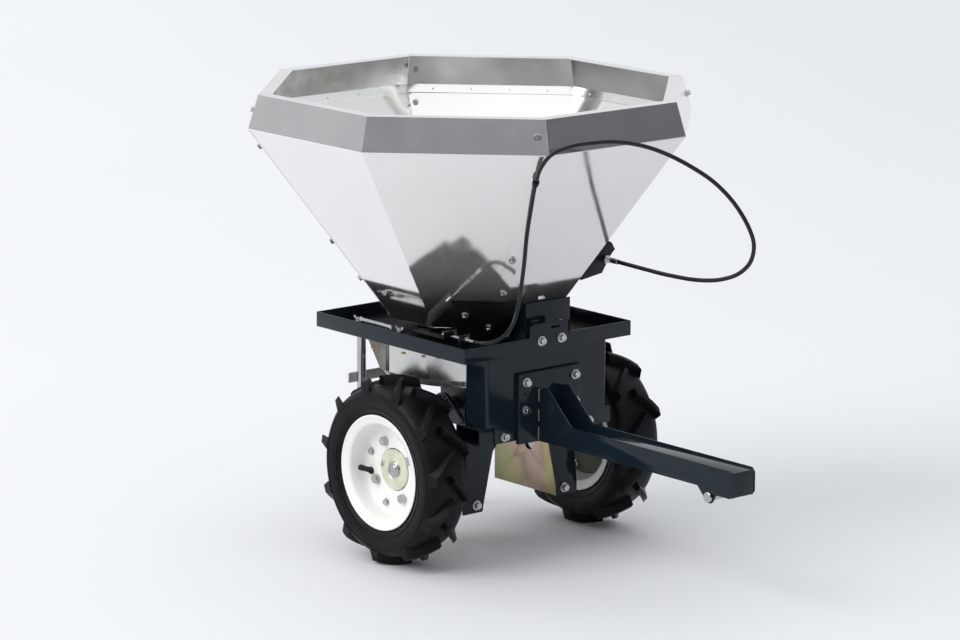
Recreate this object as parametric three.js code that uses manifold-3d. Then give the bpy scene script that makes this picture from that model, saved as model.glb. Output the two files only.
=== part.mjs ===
// Towed garden spreader: octagonal stainless hopper on a folded steel frame with two
// lugged wheels, a chain and bevel drive from the right wheel to the spinner disc, a
// sliding shutter worked by a push-pull cable, a rear stand and a tow bar.
// Millimetres, +Z up, +X towards the tow bar, +Y to the machine's left.
import * as THREE from 'three';
import { mergeVertices } from 'three/addons/utils/BufferGeometryUtils.js';
import Module from 'manifold-3d';

const wasm = await Module();
wasm.setup();

// ---- driving dimensions -----------------------------------------------------------
// X and Y are measured from the middle of the wheel axle line, Z from the ground.
const GAP = 0.3;
const TYRE_R = 191.7;
const AXLE_Z = TYRE_R;
const AXLE_R = 10;
const WHEEL_Y = 258.15;
const RIM_FLANGE_R = 117.5;
const RIM_SEAT_R = 101;
const RIM_HALF_WIDTH = 46.85;
const WHEEL_SIDES = 32;

const HOPPER_X = -67;
const BAND_TOP = { a: 416, z: 938 };
const BAND_LOW = { a: 435.4, z: 871 };
const LIP = 27;
const SHEET = 2;
const FUNNEL_SLOPE = 0.686;
const FUNNEL_BOTTOM_Z = 470.3;
const FLOOR_TOP_Z = 470;
const FLOOR_T = 3;

const TRAY = { x0: -302.5, x1: 170, y: 221.4, z0: 430.5, z1: 461.3, t: 2 };
const TRAY_OPENING = { x0: -97, x1: 30, y: 70 };
const UNDER_TRAY_Z = TRAY.z0 - GAP;

const GATE_TRAVEL = 45;
const GATE_Z = 463;
const OUTLET = { x0: -25, x1: 11, y0: 16, y1: 64 };

const SHAFT_R = 8;
const COUNTER_Z = 285;
const COUNTER_R = 7;
const CHAIN_Y = -77;
const CHAIN_PITCH = 9.525;
const DRIVE_TEETH = 30;
const DRIVEN_TEETH = 12;
const CROWN_TEETH = 30;
const PINION_TEETH = 12;
const BEVEL_MODULE = 2.5;

const DISC_R = 185;
const DISC_Z = 352;
const GUARD_R = 205;
const GUARD_Z0 = 370;

const FRAME = { x: 165, y: 160, z0: 290, t: 3 };
const CROSS = { x0: 89, x1: 161.7, y: 175, z0: 255, z1: 289.7, t: 3 };
const LEG_X = 83;
const BEARING_PLATE_Y = 97;
const PLATE_T = 4;
const OUTER_FACE_Y = BEARING_PLATE_Y + PLATE_T;
const POST = { x: -262, y: 135.5, r: 9.5 };

const BAR = { x0: 175, x1: 736, y: 30, z0: 248, z1: 293, t: 3 };
const TOW_PIN = { x: 671.6, z: 231.6, r: 8, lug: 13, head: 10.5 };

const CABLE_R = 4.25;
const ADJUSTER = { y: -180, z: 467.5 };
const CABLE_END = { x: 154, y: 161, z: 594 };

// ---- materials --------------------------------------------------------------------
function look(color, roughness, metalness) {
  return () => new THREE.MeshStandardMaterial({ color, roughness, metalness });
}
const stainless = look(0xc9cbcd, 0.25, 1);
const navy = look(0x1f2636, 0.45, 0.2);
const blackPaint = look(0x17181a, 0.5, 0.2);
const whitePaint = look(0xe9eae8, 0.35, 0.1);
const zinc = look(0xb9bcc0, 0.35, 1);
const yellowZinc = look(0xc9a562, 0.35, 1);
const castIron = look(0x3a3c3f, 0.6, 0.6);
const rubber = look(0x18181a, 0.85, 0);
const cableBlack = look(0x101012, 0.5, 0);

// ---- solids -----------------------------------------------------------------------
function toSolid(geometry) {
  const bare = geometry.clone();
  bare.deleteAttribute('normal');
  bare.deleteAttribute('uv');
  const merged = mergeVertices(bare, 1e-4);
  const index = merged.index.array;
  const kept = [];
  for (let i = 0; i < index.length; i += 3) {
    const [a, b, c] = [index[i], index[i + 1], index[i + 2]];
    if (a !== b && b !== c && a !== c) kept.push(a, b, c);
  }
  return new wasm.Manifold(new wasm.Mesh({
    numProp: 3,
    vertProperties: new Float32Array(merged.attributes.position.array),
    triVerts: new Uint32Array(kept),
  }));
}

function toGeometry(solid) {
  const mesh = solid.getMesh();
  const geometry = new THREE.BufferGeometry();
  geometry.setAttribute('position', new THREE.BufferAttribute(mesh.vertProperties, 3));
  geometry.setIndex(new THREE.BufferAttribute(mesh.triVerts, 1));
  geometry.computeVertexNormals();
  return geometry;
}

function box(x0, x1, y0, y1, z0, z1) {
  const geometry = new THREE.BoxGeometry(x1 - x0, y1 - y0, z1 - z0);
  geometry.translate((x0 + x1) / 2, (y0 + y1) / 2, (z0 + z1) / 2);
  return toSolid(geometry);
}

const AXES = {
  x: new THREE.Vector3(1, 0, 0),
  y: new THREE.Vector3(0, 1, 0),
  z: new THREE.Vector3(0, 0, 1),
};

// A round bar along an axis through the point `at`, from `start` to `end` on that axis.
function rod(axis, at, start, end, radius, sides = 20) {
  const geometry = new THREE.CylinderGeometry(radius, radius, end - start, sides);
  geometry.applyQuaternion(new THREE.Quaternion().setFromUnitVectors(AXES.y, AXES[axis]));
  const place = new THREE.Vector3(...at);
  place[axis] = (start + end) / 2;
  geometry.translate(place.x, place.y, place.z);
  return toSolid(geometry);
}

// A round bar between any two points.
function strut(from, to, radius, sides = 16) {
  const start = new THREE.Vector3(...from);
  const along = new THREE.Vector3(...to).sub(start);
  const geometry = new THREE.CylinderGeometry(radius, radius, along.length(), sides);
  geometry.applyQuaternion(new THREE.Quaternion().setFromUnitVectors(AXES.y, along.clone().normalize()));
  const middle = start.add(along.multiplyScalar(0.5));
  geometry.translate(middle.x, middle.y, middle.z);
  return toSolid(geometry);
}

// An outline in the plane `plane`, extruded from `from` to `to` along the third axis.
const BASES = {
  xy: [[1, 0, 0], [0, 1, 0], [0, 0, 1]],
  yz: [[0, 1, 0], [0, 0, 1], [1, 0, 0]],
  xz: [[1, 0, 0], [0, 0, 1], [0, -1, 0]],
};
function plate(plane, outline, from, to) {
  const shape = new THREE.Shape(outline.map(([u, v]) => new THREE.Vector2(u, v)));
  const geometry = new THREE.ExtrudeGeometry(shape, { depth: to - from, bevelEnabled: false });
  const [u, v, w] = BASES[plane].map((axis) => new THREE.Vector3(...axis));
  geometry.applyMatrix4(new THREE.Matrix4().makeBasis(u, v, w));
  const start = plane === 'xz' ? to : from;
  const offset = { xy: [0, 0, start], yz: [start, 0, 0], xz: [0, start, 0] }[plane];
  geometry.translate(...offset);
  return toSolid(geometry);
}

// A turned solid about an axis parallel to Y (or Z) through `at`; profile is [radius, along].
function turned(axis, at, profile, sides = 24) {
  const points = profile.map(([r, s]) => new THREE.Vector2(r, s));
  points.push(points[0].clone());
  const geometry = new THREE.LatheGeometry(points, sides);
  geometry.applyQuaternion(new THREE.Quaternion().setFromUnitVectors(AXES.y, AXES[axis]));
  geometry.translate(...at);
  const solid = toSolid(geometry);
  return solid.volume() > 0 ? solid : toSolid(flipped(geometry));
}

function flipped(geometry) {
  const copy = geometry.clone();
  const index = copy.index.array;
  for (let i = 0; i < index.length; i += 3) [index[i + 1], index[i + 2]] = [index[i + 2], index[i + 1]];
  return copy;
}

function arc(cx, cy, radius, fromDeg, toDeg, steps) {
  return Array.from({ length: steps + 1 }, (_, i) => {
    const angle = THREE.MathUtils.degToRad(fromDeg + (toDeg - fromDeg) * i / steps);
    return [cx + radius * Math.cos(angle), cy + radius * Math.sin(angle)];
  });
}

const machine = new THREE.Group();
function add(name, solid, material) {
  const mesh = new THREE.Mesh(toGeometry(solid), material());
  mesh.name = name;
  machine.add(mesh);
}

// ---- hopper -----------------------------------------------------------------------
const funnel = (z) => BAND_LOW.a + (z - BAND_LOW.z) * FUNNEL_SLOPE;

// Sweeps a closed [apothem, z] profile through plan angles round the hopper's axis. Each
// stretch between two angles lies on the flat side whose normal angle is given for it.
function sweep(profile, stations) {
  const rings = stations.map(({ angle, normal }) => profile.map(([a, z]) => {
    const r = a / Math.cos(THREE.MathUtils.degToRad(angle - normal));
    const t = THREE.MathUtils.degToRad(angle);
    return [HOPPER_X + r * Math.cos(t), r * Math.sin(t), z];
  }));
  const n = profile.length;
  const positions = rings.flat(2);
  const index = [];
  for (let s = 0; s < rings.length - 1; s += 1) {
    for (let i = 0; i < n; i += 1) {
      const a = s * n + i;
      const b = s * n + (i + 1) % n;
      index.push(a, b, b + n, a, b + n, a + n);
    }
  }
  const caps = THREE.ShapeUtils.triangulateShape(profile.map(([a, z]) => new THREE.Vector2(a, z)), []);
  const last = (rings.length - 1) * n;
  for (const [a, b, c] of caps) {
    index.push(a, c, b, last + a, last + b, last + c);
  }
  const geometry = new THREE.BufferGeometry();
  geometry.setAttribute('position', new THREE.Float32BufferAttribute(positions, 3));
  geometry.setIndex(index);
  const solid = toSolid(geometry);
  return solid.volume() > 0 ? solid : toSolid(flipped(geometry));
}

// Two neighbouring sides folded at one corner, from seam to seam.
function foldedSheet(profile, firstNormal) {
  const seam = 0.03;
  return sweep(profile, [
    { angle: firstNormal - 22.5 + seam, normal: firstNormal },
    { angle: firstNormal + 22.5, normal: firstNormal },
    { angle: firstNormal + 67.5 - seam, normal: firstNormal + 45 },
  ]);
}

const wallRun = SHEET * Math.hypot(1, FUNNEL_SLOPE);
const tuckA = BAND_LOW.a - SHEET - 0.6;
const tuckZ = BAND_LOW.z - (BAND_LOW.a - tuckA) / FUNNEL_SLOPE;
const tuckTop = 19;
const bandLean = (BAND_LOW.a - BAND_TOP.a) / (BAND_TOP.z - BAND_LOW.z);
const tuckTopA = tuckA - (tuckTop + BAND_LOW.z - tuckZ) * bandLean - 1;
const funnelProfile = [
  [funnel(FUNNEL_BOTTOM_Z), FUNNEL_BOTTOM_Z],
  [tuckA, tuckZ],
  [tuckTopA, BAND_LOW.z + tuckTop],
  [tuckTopA - SHEET, BAND_LOW.z + tuckTop],
  [tuckA - SHEET, tuckZ + 1],
  [funnel(FUNNEL_BOTTOM_Z) - wallRun, FUNNEL_BOTTOM_Z],
];
const bandProfile = [
  [BAND_LOW.a, BAND_LOW.z],
  [BAND_TOP.a, BAND_TOP.z],
  [BAND_TOP.a - LIP, BAND_TOP.z],
  [BAND_TOP.a - LIP, BAND_TOP.z - SHEET],
  [BAND_TOP.a - SHEET, BAND_TOP.z - SHEET],
  [BAND_LOW.a - SHEET, BAND_LOW.z],
];
const SIDES = { front: 0, left: 90, rear: 180, right: 270 };
for (const [side, normal] of Object.entries(SIDES)) {
  add(`hopper_sheet_${side}`, foldedSheet(funnelProfile, normal), stainless);
}
const bandHalf = (start) => sweep(bandProfile, [0, 1, 2, 3, 4].map((k) => ({
  angle: start + 22.5 + 45 * k,
  normal: start + 45 * Math.max(k, 1),
})));
add('hopper_band', bandHalf(0).add(bandHalf(180)), stainless);

// Brackets that hold the funnel: two wide plates lie on diagonal sides, bent out into a
// foot on the tray floor, and a box-sided one stands upright in front.
const trayFloorTop = TRAY.z0 + TRAY.t;
const bracketFoot = trayFloorTop + GAP;
const BRACKET = { t: 3, top: 536, foot: 34 };
// Wraps round the hopper's corner at 22.5 degrees past the normal of its first side.
function wrapBracket(normal, from, to) {
  const inner = (z) => funnel(z) + 0.6;
  const profile = [
    [inner(bracketFoot), bracketFoot],
    [inner(bracketFoot) + BRACKET.foot, bracketFoot],
    [inner(bracketFoot) + BRACKET.foot, bracketFoot + BRACKET.t],
    [inner(bracketFoot) + 6.5, bracketFoot + BRACKET.t],
    [inner(BRACKET.top) + 3.6, BRACKET.top],
    [inner(BRACKET.top), BRACKET.top],
  ];
  return sweep(profile, [
    { angle: from, normal },
    { angle: normal + 22.5, normal },
    { angle: to, normal: normal + 45 },
  ]);
}
add('hopper_bracket_front_right', wrapBracket(-45, -52, -13), blackPaint);
add('hopper_bracket_rear_left', wrapBracket(135, 128, 167), blackPaint);

const STAND = { x: 133, y0: -30, y1: 88, top: 522 };
const funnelX = (z) => HOPPER_X + funnel(z) + 1.5;
const cheek = [
  [STAND.x, bracketFoot],
  [STAND.x, STAND.top],
  [funnelX(STAND.top), STAND.top],
  [funnelX(bracketFoot), bracketFoot],
];
add('hopper_bracket_front',
  box(STAND.x - BRACKET.t, STAND.x, STAND.y0, STAND.y1, bracketFoot, STAND.top)
    .add(plate('xz', cheek, STAND.y0, STAND.y0 + BRACKET.t))
    .add(plate('xz', cheek, STAND.y1 - BRACKET.t, STAND.y1)), navy);

function outletPair() {
  const right = box(OUTLET.x0, OUTLET.x1, -OUTLET.y1, -OUTLET.y0, GATE_Z - 20, GATE_Z + 20);
  return right.add(box(OUTLET.x0, OUTLET.x1, OUTLET.y0, OUTLET.y1, GATE_Z - 20, GATE_Z + 20));
}
const floorApothem = funnel(FLOOR_TOP_Z - FLOOR_T) - 1;
const floorCorners = arc(HOPPER_X, 0, floorApothem / Math.cos(Math.PI / 8), 22.5, 337.5, 7);
const shaftHole = rod('z', [HOPPER_X, 0, 0], GATE_Z - 20, GATE_Z + 20, 11, 16);
add('hopper_floor',
  plate('xy', floorCorners, FLOOR_TOP_Z - FLOOR_T, FLOOR_TOP_Z).subtract(outletPair()).subtract(shaftHole),
  stainless);

// ---- tray -------------------------------------------------------------------------
const inside = box(TRAY.x0 + TRAY.t, TRAY.x1 - TRAY.t, TRAY.t - TRAY.y, TRAY.y - TRAY.t, trayFloorTop, 500);
const frontTab = plate('yz', [[-50.7, 450], [50.7, 450], [50.7, 482], [44, 488], [-44, 488], [-50.7, 482]],
  TRAY.x1 - TRAY.t, TRAY.x1).subtract(box(160, 180, 4, 30, 474, 479));
const tray = box(TRAY.x0, TRAY.x1, -TRAY.y, TRAY.y, TRAY.z0, TRAY.z1)
  .subtract(inside)
  .subtract(box(TRAY_OPENING.x0, TRAY_OPENING.x1, -TRAY_OPENING.y, TRAY_OPENING.y, 420, 440))
  .add(frontTab);
add('tray', tray, navy);

const chuteWall = 2;
const chuteTop = UNDER_TRAY_Z;
add('outlet_chute',
  box(TRAY_OPENING.x0 - chuteWall, TRAY_OPENING.x1 + chuteWall,
    -TRAY_OPENING.y - chuteWall, TRAY_OPENING.y + chuteWall, 398, chuteTop)
    .subtract(box(TRAY_OPENING.x0, TRAY_OPENING.x1, -TRAY_OPENING.y, TRAY_OPENING.y, 390, 440)),
  stainless);

// ---- shutter ----------------------------------------------------------------------
const gateT = 3;
const slotEnd = HOPPER_X + GATE_TRAVEL;
const shaftSlot = rod('z', [HOPPER_X, 0, 0], 450, 480, 11, 16)
  .add(rod('z', [slotEnd, 0, 0], 450, 480, 11, 16))
  .add(box(HOPPER_X, slotEnd, -11, 11, 450, 480));
add('shutter_plate',
  box(-95, 65, -75, 75, GATE_Z, GATE_Z + gateT).subtract(outletPair()).subtract(shaftSlot), stainless);

const armTop = GATE_Z - GAP;
const armTab = box(68, 71, -191, -169, armTop - gateT, 475)
  .subtract(rod('x', [0, ADJUSTER.y, ADJUSTER.z], 60, 80, 2.4, 10));
add('shutter_arm',
  box(-34, -10, -191, -40, armTop - gateT, armTop)
    .add(box(-34, 71, -191, -169, armTop - gateT, armTop))
    .add(armTab), blackPaint);
add('cable_inner_wire',
  rod('x', [0, ADJUSTER.y, ADJUSTER.z], 54, 67.6, 4.4, 12)
    .add(rod('x', [0, ADJUSTER.y, ADJUSTER.z], 66, 146, 1.4, 8)), zinc);

// Guides along both edges of the shutter, open in the middle where the arm crosses.
const GUIDE = { near: 75.4, far: 79, ledge: 66, spans: [[-150, -80], [5, 42]] };
function bandY(sign, a, b) {
  return sign > 0 ? [a, b] : [-b, -a];
}
for (const [side, sign] of [['right', -1], ['left', 1]]) {
  let guide = box(-150, 42, ...bandY(sign, 71, GUIDE.far), bracketFoot, bracketFoot + 3);
  for (const [x0, x1] of GUIDE.spans) {
    guide = guide
      .add(box(x0, x1, ...bandY(sign, GUIDE.near, GUIDE.far), bracketFoot, GATE_Z + gateT))
      .add(box(x0, x1, ...bandY(sign, GUIDE.ledge, GUIDE.far), GATE_Z - 2.4, GATE_Z - GAP));
  }
  add(`shutter_guide_${side}`, guide, blackPaint);
}

function wingNut(x) {
  const z0 = bracketFoot;
  const stud = rod('z', [x, -205, 0], z0, 466, 3, 10);
  const hub = rod('z', [x, -205, 0], 452, 460, 6, 12);
  const outline = [[-14, 468], [-8, 469], [-3, 457], [3, 457], [8, 469], [14, 468], [6, 453], [-6, 453]];
  const wings = plate('xz', outline.map(([dx, z]) => [x + dx, z]), -206.2, -203.8);
  return stud.add(hub).add(wings);
}
add('setting_plate',
  box(-172, -70, -213, -210, bracketFoot, 469).subtract(box(-162, -80, -220, -200, 455, 461))
    .add(box(-194, -46, -213, -198, bracketFoot, bracketFoot + 2))
    .add(wingNut(-54))
    .add(wingNut(-186)), zinc);

// ---- control cable ----------------------------------------------------------------
add('cable_anchor_bracket',
  box(118, 121, -194, -166, bracketFoot, 478)
    .subtract(rod('x', [0, ADJUSTER.y, ADJUSTER.z], 110, 130, 4.6, 12))
    .add(box(92, 121, -194, -166, bracketFoot, bracketFoot + 2.5)), navy);
const adjusterAt = [0, ADJUSTER.y, ADJUSTER.z];
add('cable_adjuster',
  rod('x', adjusterAt, 88, 149.5, 4.2, 14)
    .add(rod('x', adjusterAt, 121.4, 126.5, 7.5, 6))
    .add(rod('x', adjusterAt, 112.5, 117.6, 7.5, 6))
    .subtract(rod('x', adjusterAt, 80, 160, 1.9, 10)), zinc);

const CABLE_ROUTE = [
  [150.4, -180, 467.5],
  [168, -178.5, 468.5],
  [184, -166, 471],
  [193, -143, 480],
  [194, -118, 503],
  [193, -103, 540],
  [201, -102, 580],
  [220, -111, 632],
  [254, -135, 690],
  [297, -162, 755],
  [331, -180, 813],
  [364, -194, 851],
  [385, -188, 876],
  [399, -152, 890],
  [411, -110, 894],
  [424, -60, 893],
  [438, -5, 882],
  [452, 48, 862],
  [472, 97, 834],
  [494, 141, 800],
  [519, 171, 759],
  [541, 190, 712],
  [548, 198, 677],
  [542, 195, 643],
  [520, 186, 618],
  [484, 174, 602],
  [434, 162, 594],
  [352, 157, 591.5],
  [264, 159, 592.5],
  [196.8, 161, 594],
];
function cableSolid() {
  const route = CABLE_ROUTE.map((p) => new THREE.Vector3(...p));
  const curve = new THREE.CatmullRomCurve3(route, false, 'centripetal');
  const sides = 8;
  const section = new THREE.Shape(arc(0, 0, CABLE_R, 0, 360 - 360 / sides, sides - 1)
    .map(([u, v]) => new THREE.Vector2(u, v)));
  return toSolid(new THREE.ExtrudeGeometry(section, { steps: 72, extrudePath: curve }));
}
add('control_cable', cableSolid(), cableBlack);

const clipMiddle = new THREE.Vector3(331, -180, 813);
const clipAlong = new THREE.Vector3(67, -32, 96).normalize();
const clipPoint = (s) => clipMiddle.clone().addScaledVector(clipAlong, s).toArray();
const clipInward = new THREE.Vector3(-0.68, 0.35, 0.4).normalize();
const clipFoot = clipMiddle.clone().addScaledVector(clipInward, 10.2).toArray();
add('cable_clip',
  strut(clipPoint(-5), clipPoint(5), 7, 12)
    .add(strut(clipMiddle.toArray(), clipFoot, 3, 8))
    .subtract(strut(clipPoint(-12), clipPoint(12), CABLE_R + 0.7, 12)), blackPaint);

const endAt = [0, CABLE_END.y, CABLE_END.z];
const onPanel = (z) => Math.SQRT2 * funnel(z) + HOPPER_X - CABLE_END.x + 4.5;
const endBlade = plate('yz', [
  [onPanel(558), 558],
  [154, 566],
  [175, 598],
  [189, 611],
  [onPanel(632) + 12, 626],
  [onPanel(632), 632],
], CABLE_END.x - 1.5, CABLE_END.x + 1.5);
const bladePanel = 45;
const endFoot = sweep([
  [funnel(556) + 0.5, 556],
  [funnel(556) + 4, 556],
  [funnel(634) + 4, 634],
  [funnel(634) + 0.5, 634],
], [{ angle: 28, normal: bladePanel }, { angle: 33, normal: bladePanel }]);
add('cable_end_bracket',
  endBlade.add(endFoot).subtract(rod('x', endAt, 140, 170, 6.4, 14)), blackPaint);
add('cable_end_fitting',
  rod('x', endAt, 141, 196.2, 6, 14)
    .add(rod('x', endAt, CABLE_END.x + 1.9, CABLE_END.x + 8, 9.2, 6))
    .add(rod('x', endAt, CABLE_END.x - 8, CABLE_END.x - 1.9, 9.2, 6)), zinc);

// ---- frame ------------------------------------------------------------------------
const frontPlate = plate('yz', [
  [-138, CROSS.z0], [138, CROSS.z0], [138, FRAME.z0], [FRAME.y, FRAME.z0],
  [FRAME.y, UNDER_TRAY_Z], [-FRAME.y, UNDER_TRAY_Z], [-FRAME.y, FRAME.z0], [-138, FRAME.z0],
], FRAME.x - FRAME.t, FRAME.x);
const sideFlange = (y0) => box(102, FRAME.x, y0, y0 + FRAME.t, FRAME.z0, UNDER_TRAY_Z);
add('front_frame', frontPlate.add(sideFlange(-FRAME.y)).add(sideFlange(FRAME.y - FRAME.t)), navy);

const crossHollow = box(
  CROSS.x0 + CROSS.t, CROSS.x1 - CROSS.t,
  -200, 200,
  CROSS.z0 + CROSS.t, CROSS.z1 - CROSS.t,
);
add('cross_member',
  box(CROSS.x0, CROSS.x1, -CROSS.y, CROSS.y, CROSS.z0, CROSS.z1).subtract(crossHollow), navy);

const LEG_BOTTOM = 95;
for (const [side, sign] of [['right', -1], ['left', 1]]) {
  const outline = [
    [64, 259], [76, 211], [102, LEG_BOTTOM], [153, LEG_BOTTOM],
    [153, 120], [145, 185], [150, 320], [64, 320],
  ].map(([y, z]) => [sign * y, z]);
  add(`leg_${side}`, plate('yz', sign > 0 ? outline : outline.reverse(), LEG_X, LEG_X + 3), navy);

  const y0 = sign > 0 ? BEARING_PLATE_Y : -BEARING_PLATE_Y - PLATE_T;
  const front = LEG_X - GAP;
  const profile = [[-109, 96], [front, 96], [front, 320], [52, 320], [26, 258], [-109, 215]];
  const bearing = plate('xz', profile, y0, y0 + PLATE_T)
    .subtract(rod('y', [0, 0, AXLE_Z], y0 - 2, y0 + PLATE_T + 2, 14));
  add(`bearing_plate_${side}`, bearing, yellowZinc);
}

const innerPlateY = -58;
const innerPlate = [[-36, 150], [20, 150], [LEG_X - GAP, 236], [LEG_X - GAP, 254], [-36, 235]];
add('inner_bearing_plate',
  plate('xz', innerPlate, innerPlateY, innerPlateY + 3)
    .subtract(rod('y', [0, 0, AXLE_Z], -70, -40, 14)), navy);

for (const [side, sign] of [['right', -1], ['left', 1]]) {
  const y = sign * POST.y;
  const foot = rod('z', [POST.x, y, 0], 0, 6, 20, 16);
  add(`stand_post_${side}`, rod('z', [POST.x, y, 0], 0, UNDER_TRAY_Z, POST.r, 16).add(foot), zinc);
}
const crossbarX = POST.x - POST.r - GAP;
add('stand_crossbar', box(crossbarX - 4, crossbarX, -161, 161, 307, 328), zinc);

const guardArc = Math.acos((-90 - HOPPER_X) / GUARD_R) * 180 / Math.PI;
const guardT = 2;
const guardOutline = [
  ...arc(HOPPER_X, 0, GUARD_R, -guardArc, guardArc, 28),
  ...arc(HOPPER_X, 0, GUARD_R - guardT, guardArc, -guardArc, 28),
];
const wingY = GUARD_R * Math.sin(guardArc * Math.PI / 180);
const wingOutline = [[-87, GUARD_Z0], [-116, GUARD_Z0], [-159, UNDER_TRAY_Z], [-87, UNDER_TRAY_Z]];
add('spinner_guard',
  plate('xy', guardOutline, GUARD_Z0, UNDER_TRAY_Z)
    .add(plate('xz', wingOutline, wingY - guardT, wingY))
    .add(plate('xz', wingOutline, -wingY, guardT - wingY)), stainless);

// ---- tow bar ----------------------------------------------------------------------
add('hitch_plate', box(FRAME.x + GAP, BAR.x0 - GAP, -83, 83, BAR.z0, 392), navy);
const barOutline = [
  [BAR.x0, BAR.z0],
  [637.6, BAR.z0],
  ...arc(TOW_PIN.x, TOW_PIN.z, TOW_PIN.lug, 210, 330, 8),
  [690, 238],
  [728, 238],
  [BAR.x1, 246],
  [BAR.x1, 285],
  [728, BAR.z1],
  [274, BAR.z1],
  [203, 357],
  [196, 360],
  [BAR.x0, 356],
];
for (const [side, y0] of [['right', -BAR.y], ['left', BAR.y - BAR.t]]) {
  add(`drawbar_side_${side}`,
    plate('xz', barOutline, y0, y0 + BAR.t)
      .subtract(rod('y', [TOW_PIN.x, 0, TOW_PIN.z], y0 - 2, y0 + BAR.t + 2, TOW_PIN.r + 0.5)), navy);
}
const topPlateZ = BAR.z1 - 3.5;
const topHalf = BAR.y - BAR.t - GAP;
const barEnd = BAR.x1 - 1;
add('drawbar_top_plate',
  plate('xz', [[375, topPlateZ - 3], [barEnd - 3, topPlateZ - 3], [barEnd - 3, 241], [barEnd, 241],
    [barEnd, topPlateZ], [375, topPlateZ]], -topHalf, topHalf), navy);
add('hitch_pin',
  rod('y', [TOW_PIN.x, 0, TOW_PIN.z], -35, 40, TOW_PIN.r)
    .add(rod('y', [TOW_PIN.x, 0, TOW_PIN.z], -36, -30.4, TOW_PIN.head)), zinc);

// ---- wheels -----------------------------------------------------------------------
const mirrored = (profile, sign) => profile.map(([r, s]) => [r, sign * s]);
const tyreHalf = [[RIM_SEAT_R + 0.4, 37], [RIM_FLANGE_R + 0.7, 42.6], [150, 51.5], [184, 43], [TYRE_R, 36]];
const cavityHalf = [[RIM_SEAT_R + 0.4, 30], [148, 44], [172, 30]];
const tyreProfile = [
  ...tyreHalf,
  ...mirrored(tyreHalf, -1).reverse(),
  ...mirrored(cavityHalf, -1),
  ...cavityHalf.slice().reverse(),
];
const rimHalf = [
  [RIM_SEAT_R, 37.85],
  [RIM_FLANGE_R, 43.35],
  [RIM_FLANGE_R, RIM_HALF_WIDTH],
  [115, RIM_HALF_WIDTH],
  [98.5, 41],
  [98.5, 3],
  [43.5, 3],
];
const rimProfile = [...rimHalf, ...mirrored(rimHalf, -1).reverse()];
const hubProfile = [
  [AXLE_R + 0.4, -98],
  [20, -98],
  [20, -10.2],
  [88, -10.2],
  [88, -3.5],
  [42, -3.5],
  [42, -0.5],
  [AXLE_R + 0.4, -0.5],
];
for (const [side, sign] of [['right', -1], ['left', 1]]) {
  const at = [0, sign * WHEEL_Y, AXLE_Z];
  add(`tyre_${side}`, turned('y', at, tyreProfile, WHEEL_SIDES), rubber);
  add(`rim_${side}`, turned('y', at, rimProfile, WHEEL_SIDES), whitePaint);
  add(`hub_${side}`, turned('y', at, mirrored(hubProfile, sign), 24), yellowZinc);
}
add('stub_axle',
  rod('y', [0, 0, AXLE_Z], OUTER_FACE_Y + GAP, WHEEL_Y + 6, AXLE_R)
    .add(rod('y', [0, 0, AXLE_Z], OUTER_FACE_Y + GAP, OUTER_FACE_Y + 8, 26)), zinc);

// ---- drive ------------------------------------------------------------------------
add('drive_axle', rod('y', [0, 0, AXLE_Z], -WHEEL_Y - 6, -40, AXLE_R), zinc);
function bearingRing(y0, y1) {
  return rod('y', [0, 0, AXLE_Z], y0, y1, 24)
    .subtract(rod('y', [0, 0, AXLE_Z], y0 - 2, y1 + 2, AXLE_R + 0.4));
}
add('axle_bearing_outer', bearingRing(-OUTER_FACE_Y - 12, -OUTER_FACE_Y - GAP), castIron);
add('axle_bearing_inner', bearingRing(innerPlateY + 3 + GAP, innerPlateY + 13), castIron);

const pitchRadius = (teeth) => CHAIN_PITCH / (2 * Math.sin(Math.PI / teeth));
const tipRadius = (teeth) => pitchRadius(teeth) + 3.6;
function sprocket(at, teeth, bore) {
  const outline = [];
  for (let i = 0; i < teeth; i += 1) {
    const step = 360 / teeth;
    const tooth = step * i;
    outline.push(...arc(at[0], at[2], tipRadius(teeth), tooth - step * 0.12, tooth + step * 0.12, 1));
    outline.push(...arc(at[0], at[2], pitchRadius(teeth) - 3, tooth + step * 0.36, tooth + step * 0.64, 1));
  }
  const half = 2.7;
  return plate('xz', outline, CHAIN_Y - half, CHAIN_Y + half)
    .add(rod('y', at, CHAIN_Y - half, CHAIN_Y + 9, bore + 5))
    .subtract(rod('y', at, CHAIN_Y - 20, CHAIN_Y + 20, bore + 0.4));
}
const axleAt = [0, 0, AXLE_Z];
const counterAt = [HOPPER_X, 0, COUNTER_Z];
add('drive_sprocket', sprocket(axleAt, DRIVE_TEETH, AXLE_R), castIron);
add('driven_sprocket', sprocket(counterAt, DRIVEN_TEETH, COUNTER_R), castIron);

// The chain as one closed band round both sprockets, clear of their teeth.
function chainOutline(extra) {
  const big = tipRadius(DRIVE_TEETH) + extra;
  const small = tipRadius(DRIVEN_TEETH) + extra;
  const span = Math.hypot(HOPPER_X, COUNTER_Z - AXLE_Z);
  const line = THREE.MathUtils.radToDeg(Math.atan2(COUNTER_Z - AXLE_Z, HOPPER_X));
  const lean = THREE.MathUtils.radToDeg(Math.acos((big - small) / span));
  return [
    ...arc(0, AXLE_Z, big, line + lean, line + 360 - lean, 18),
    ...arc(HOPPER_X, COUNTER_Z, small, line - lean, line + lean, 10),
  ];
}
add('drive_chain',
  plate('xz', chainOutline(5), CHAIN_Y - 4, CHAIN_Y + 4)
    .subtract(plate('xz', chainOutline(1), CHAIN_Y - 6, CHAIN_Y + 6)), castIron);

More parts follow.
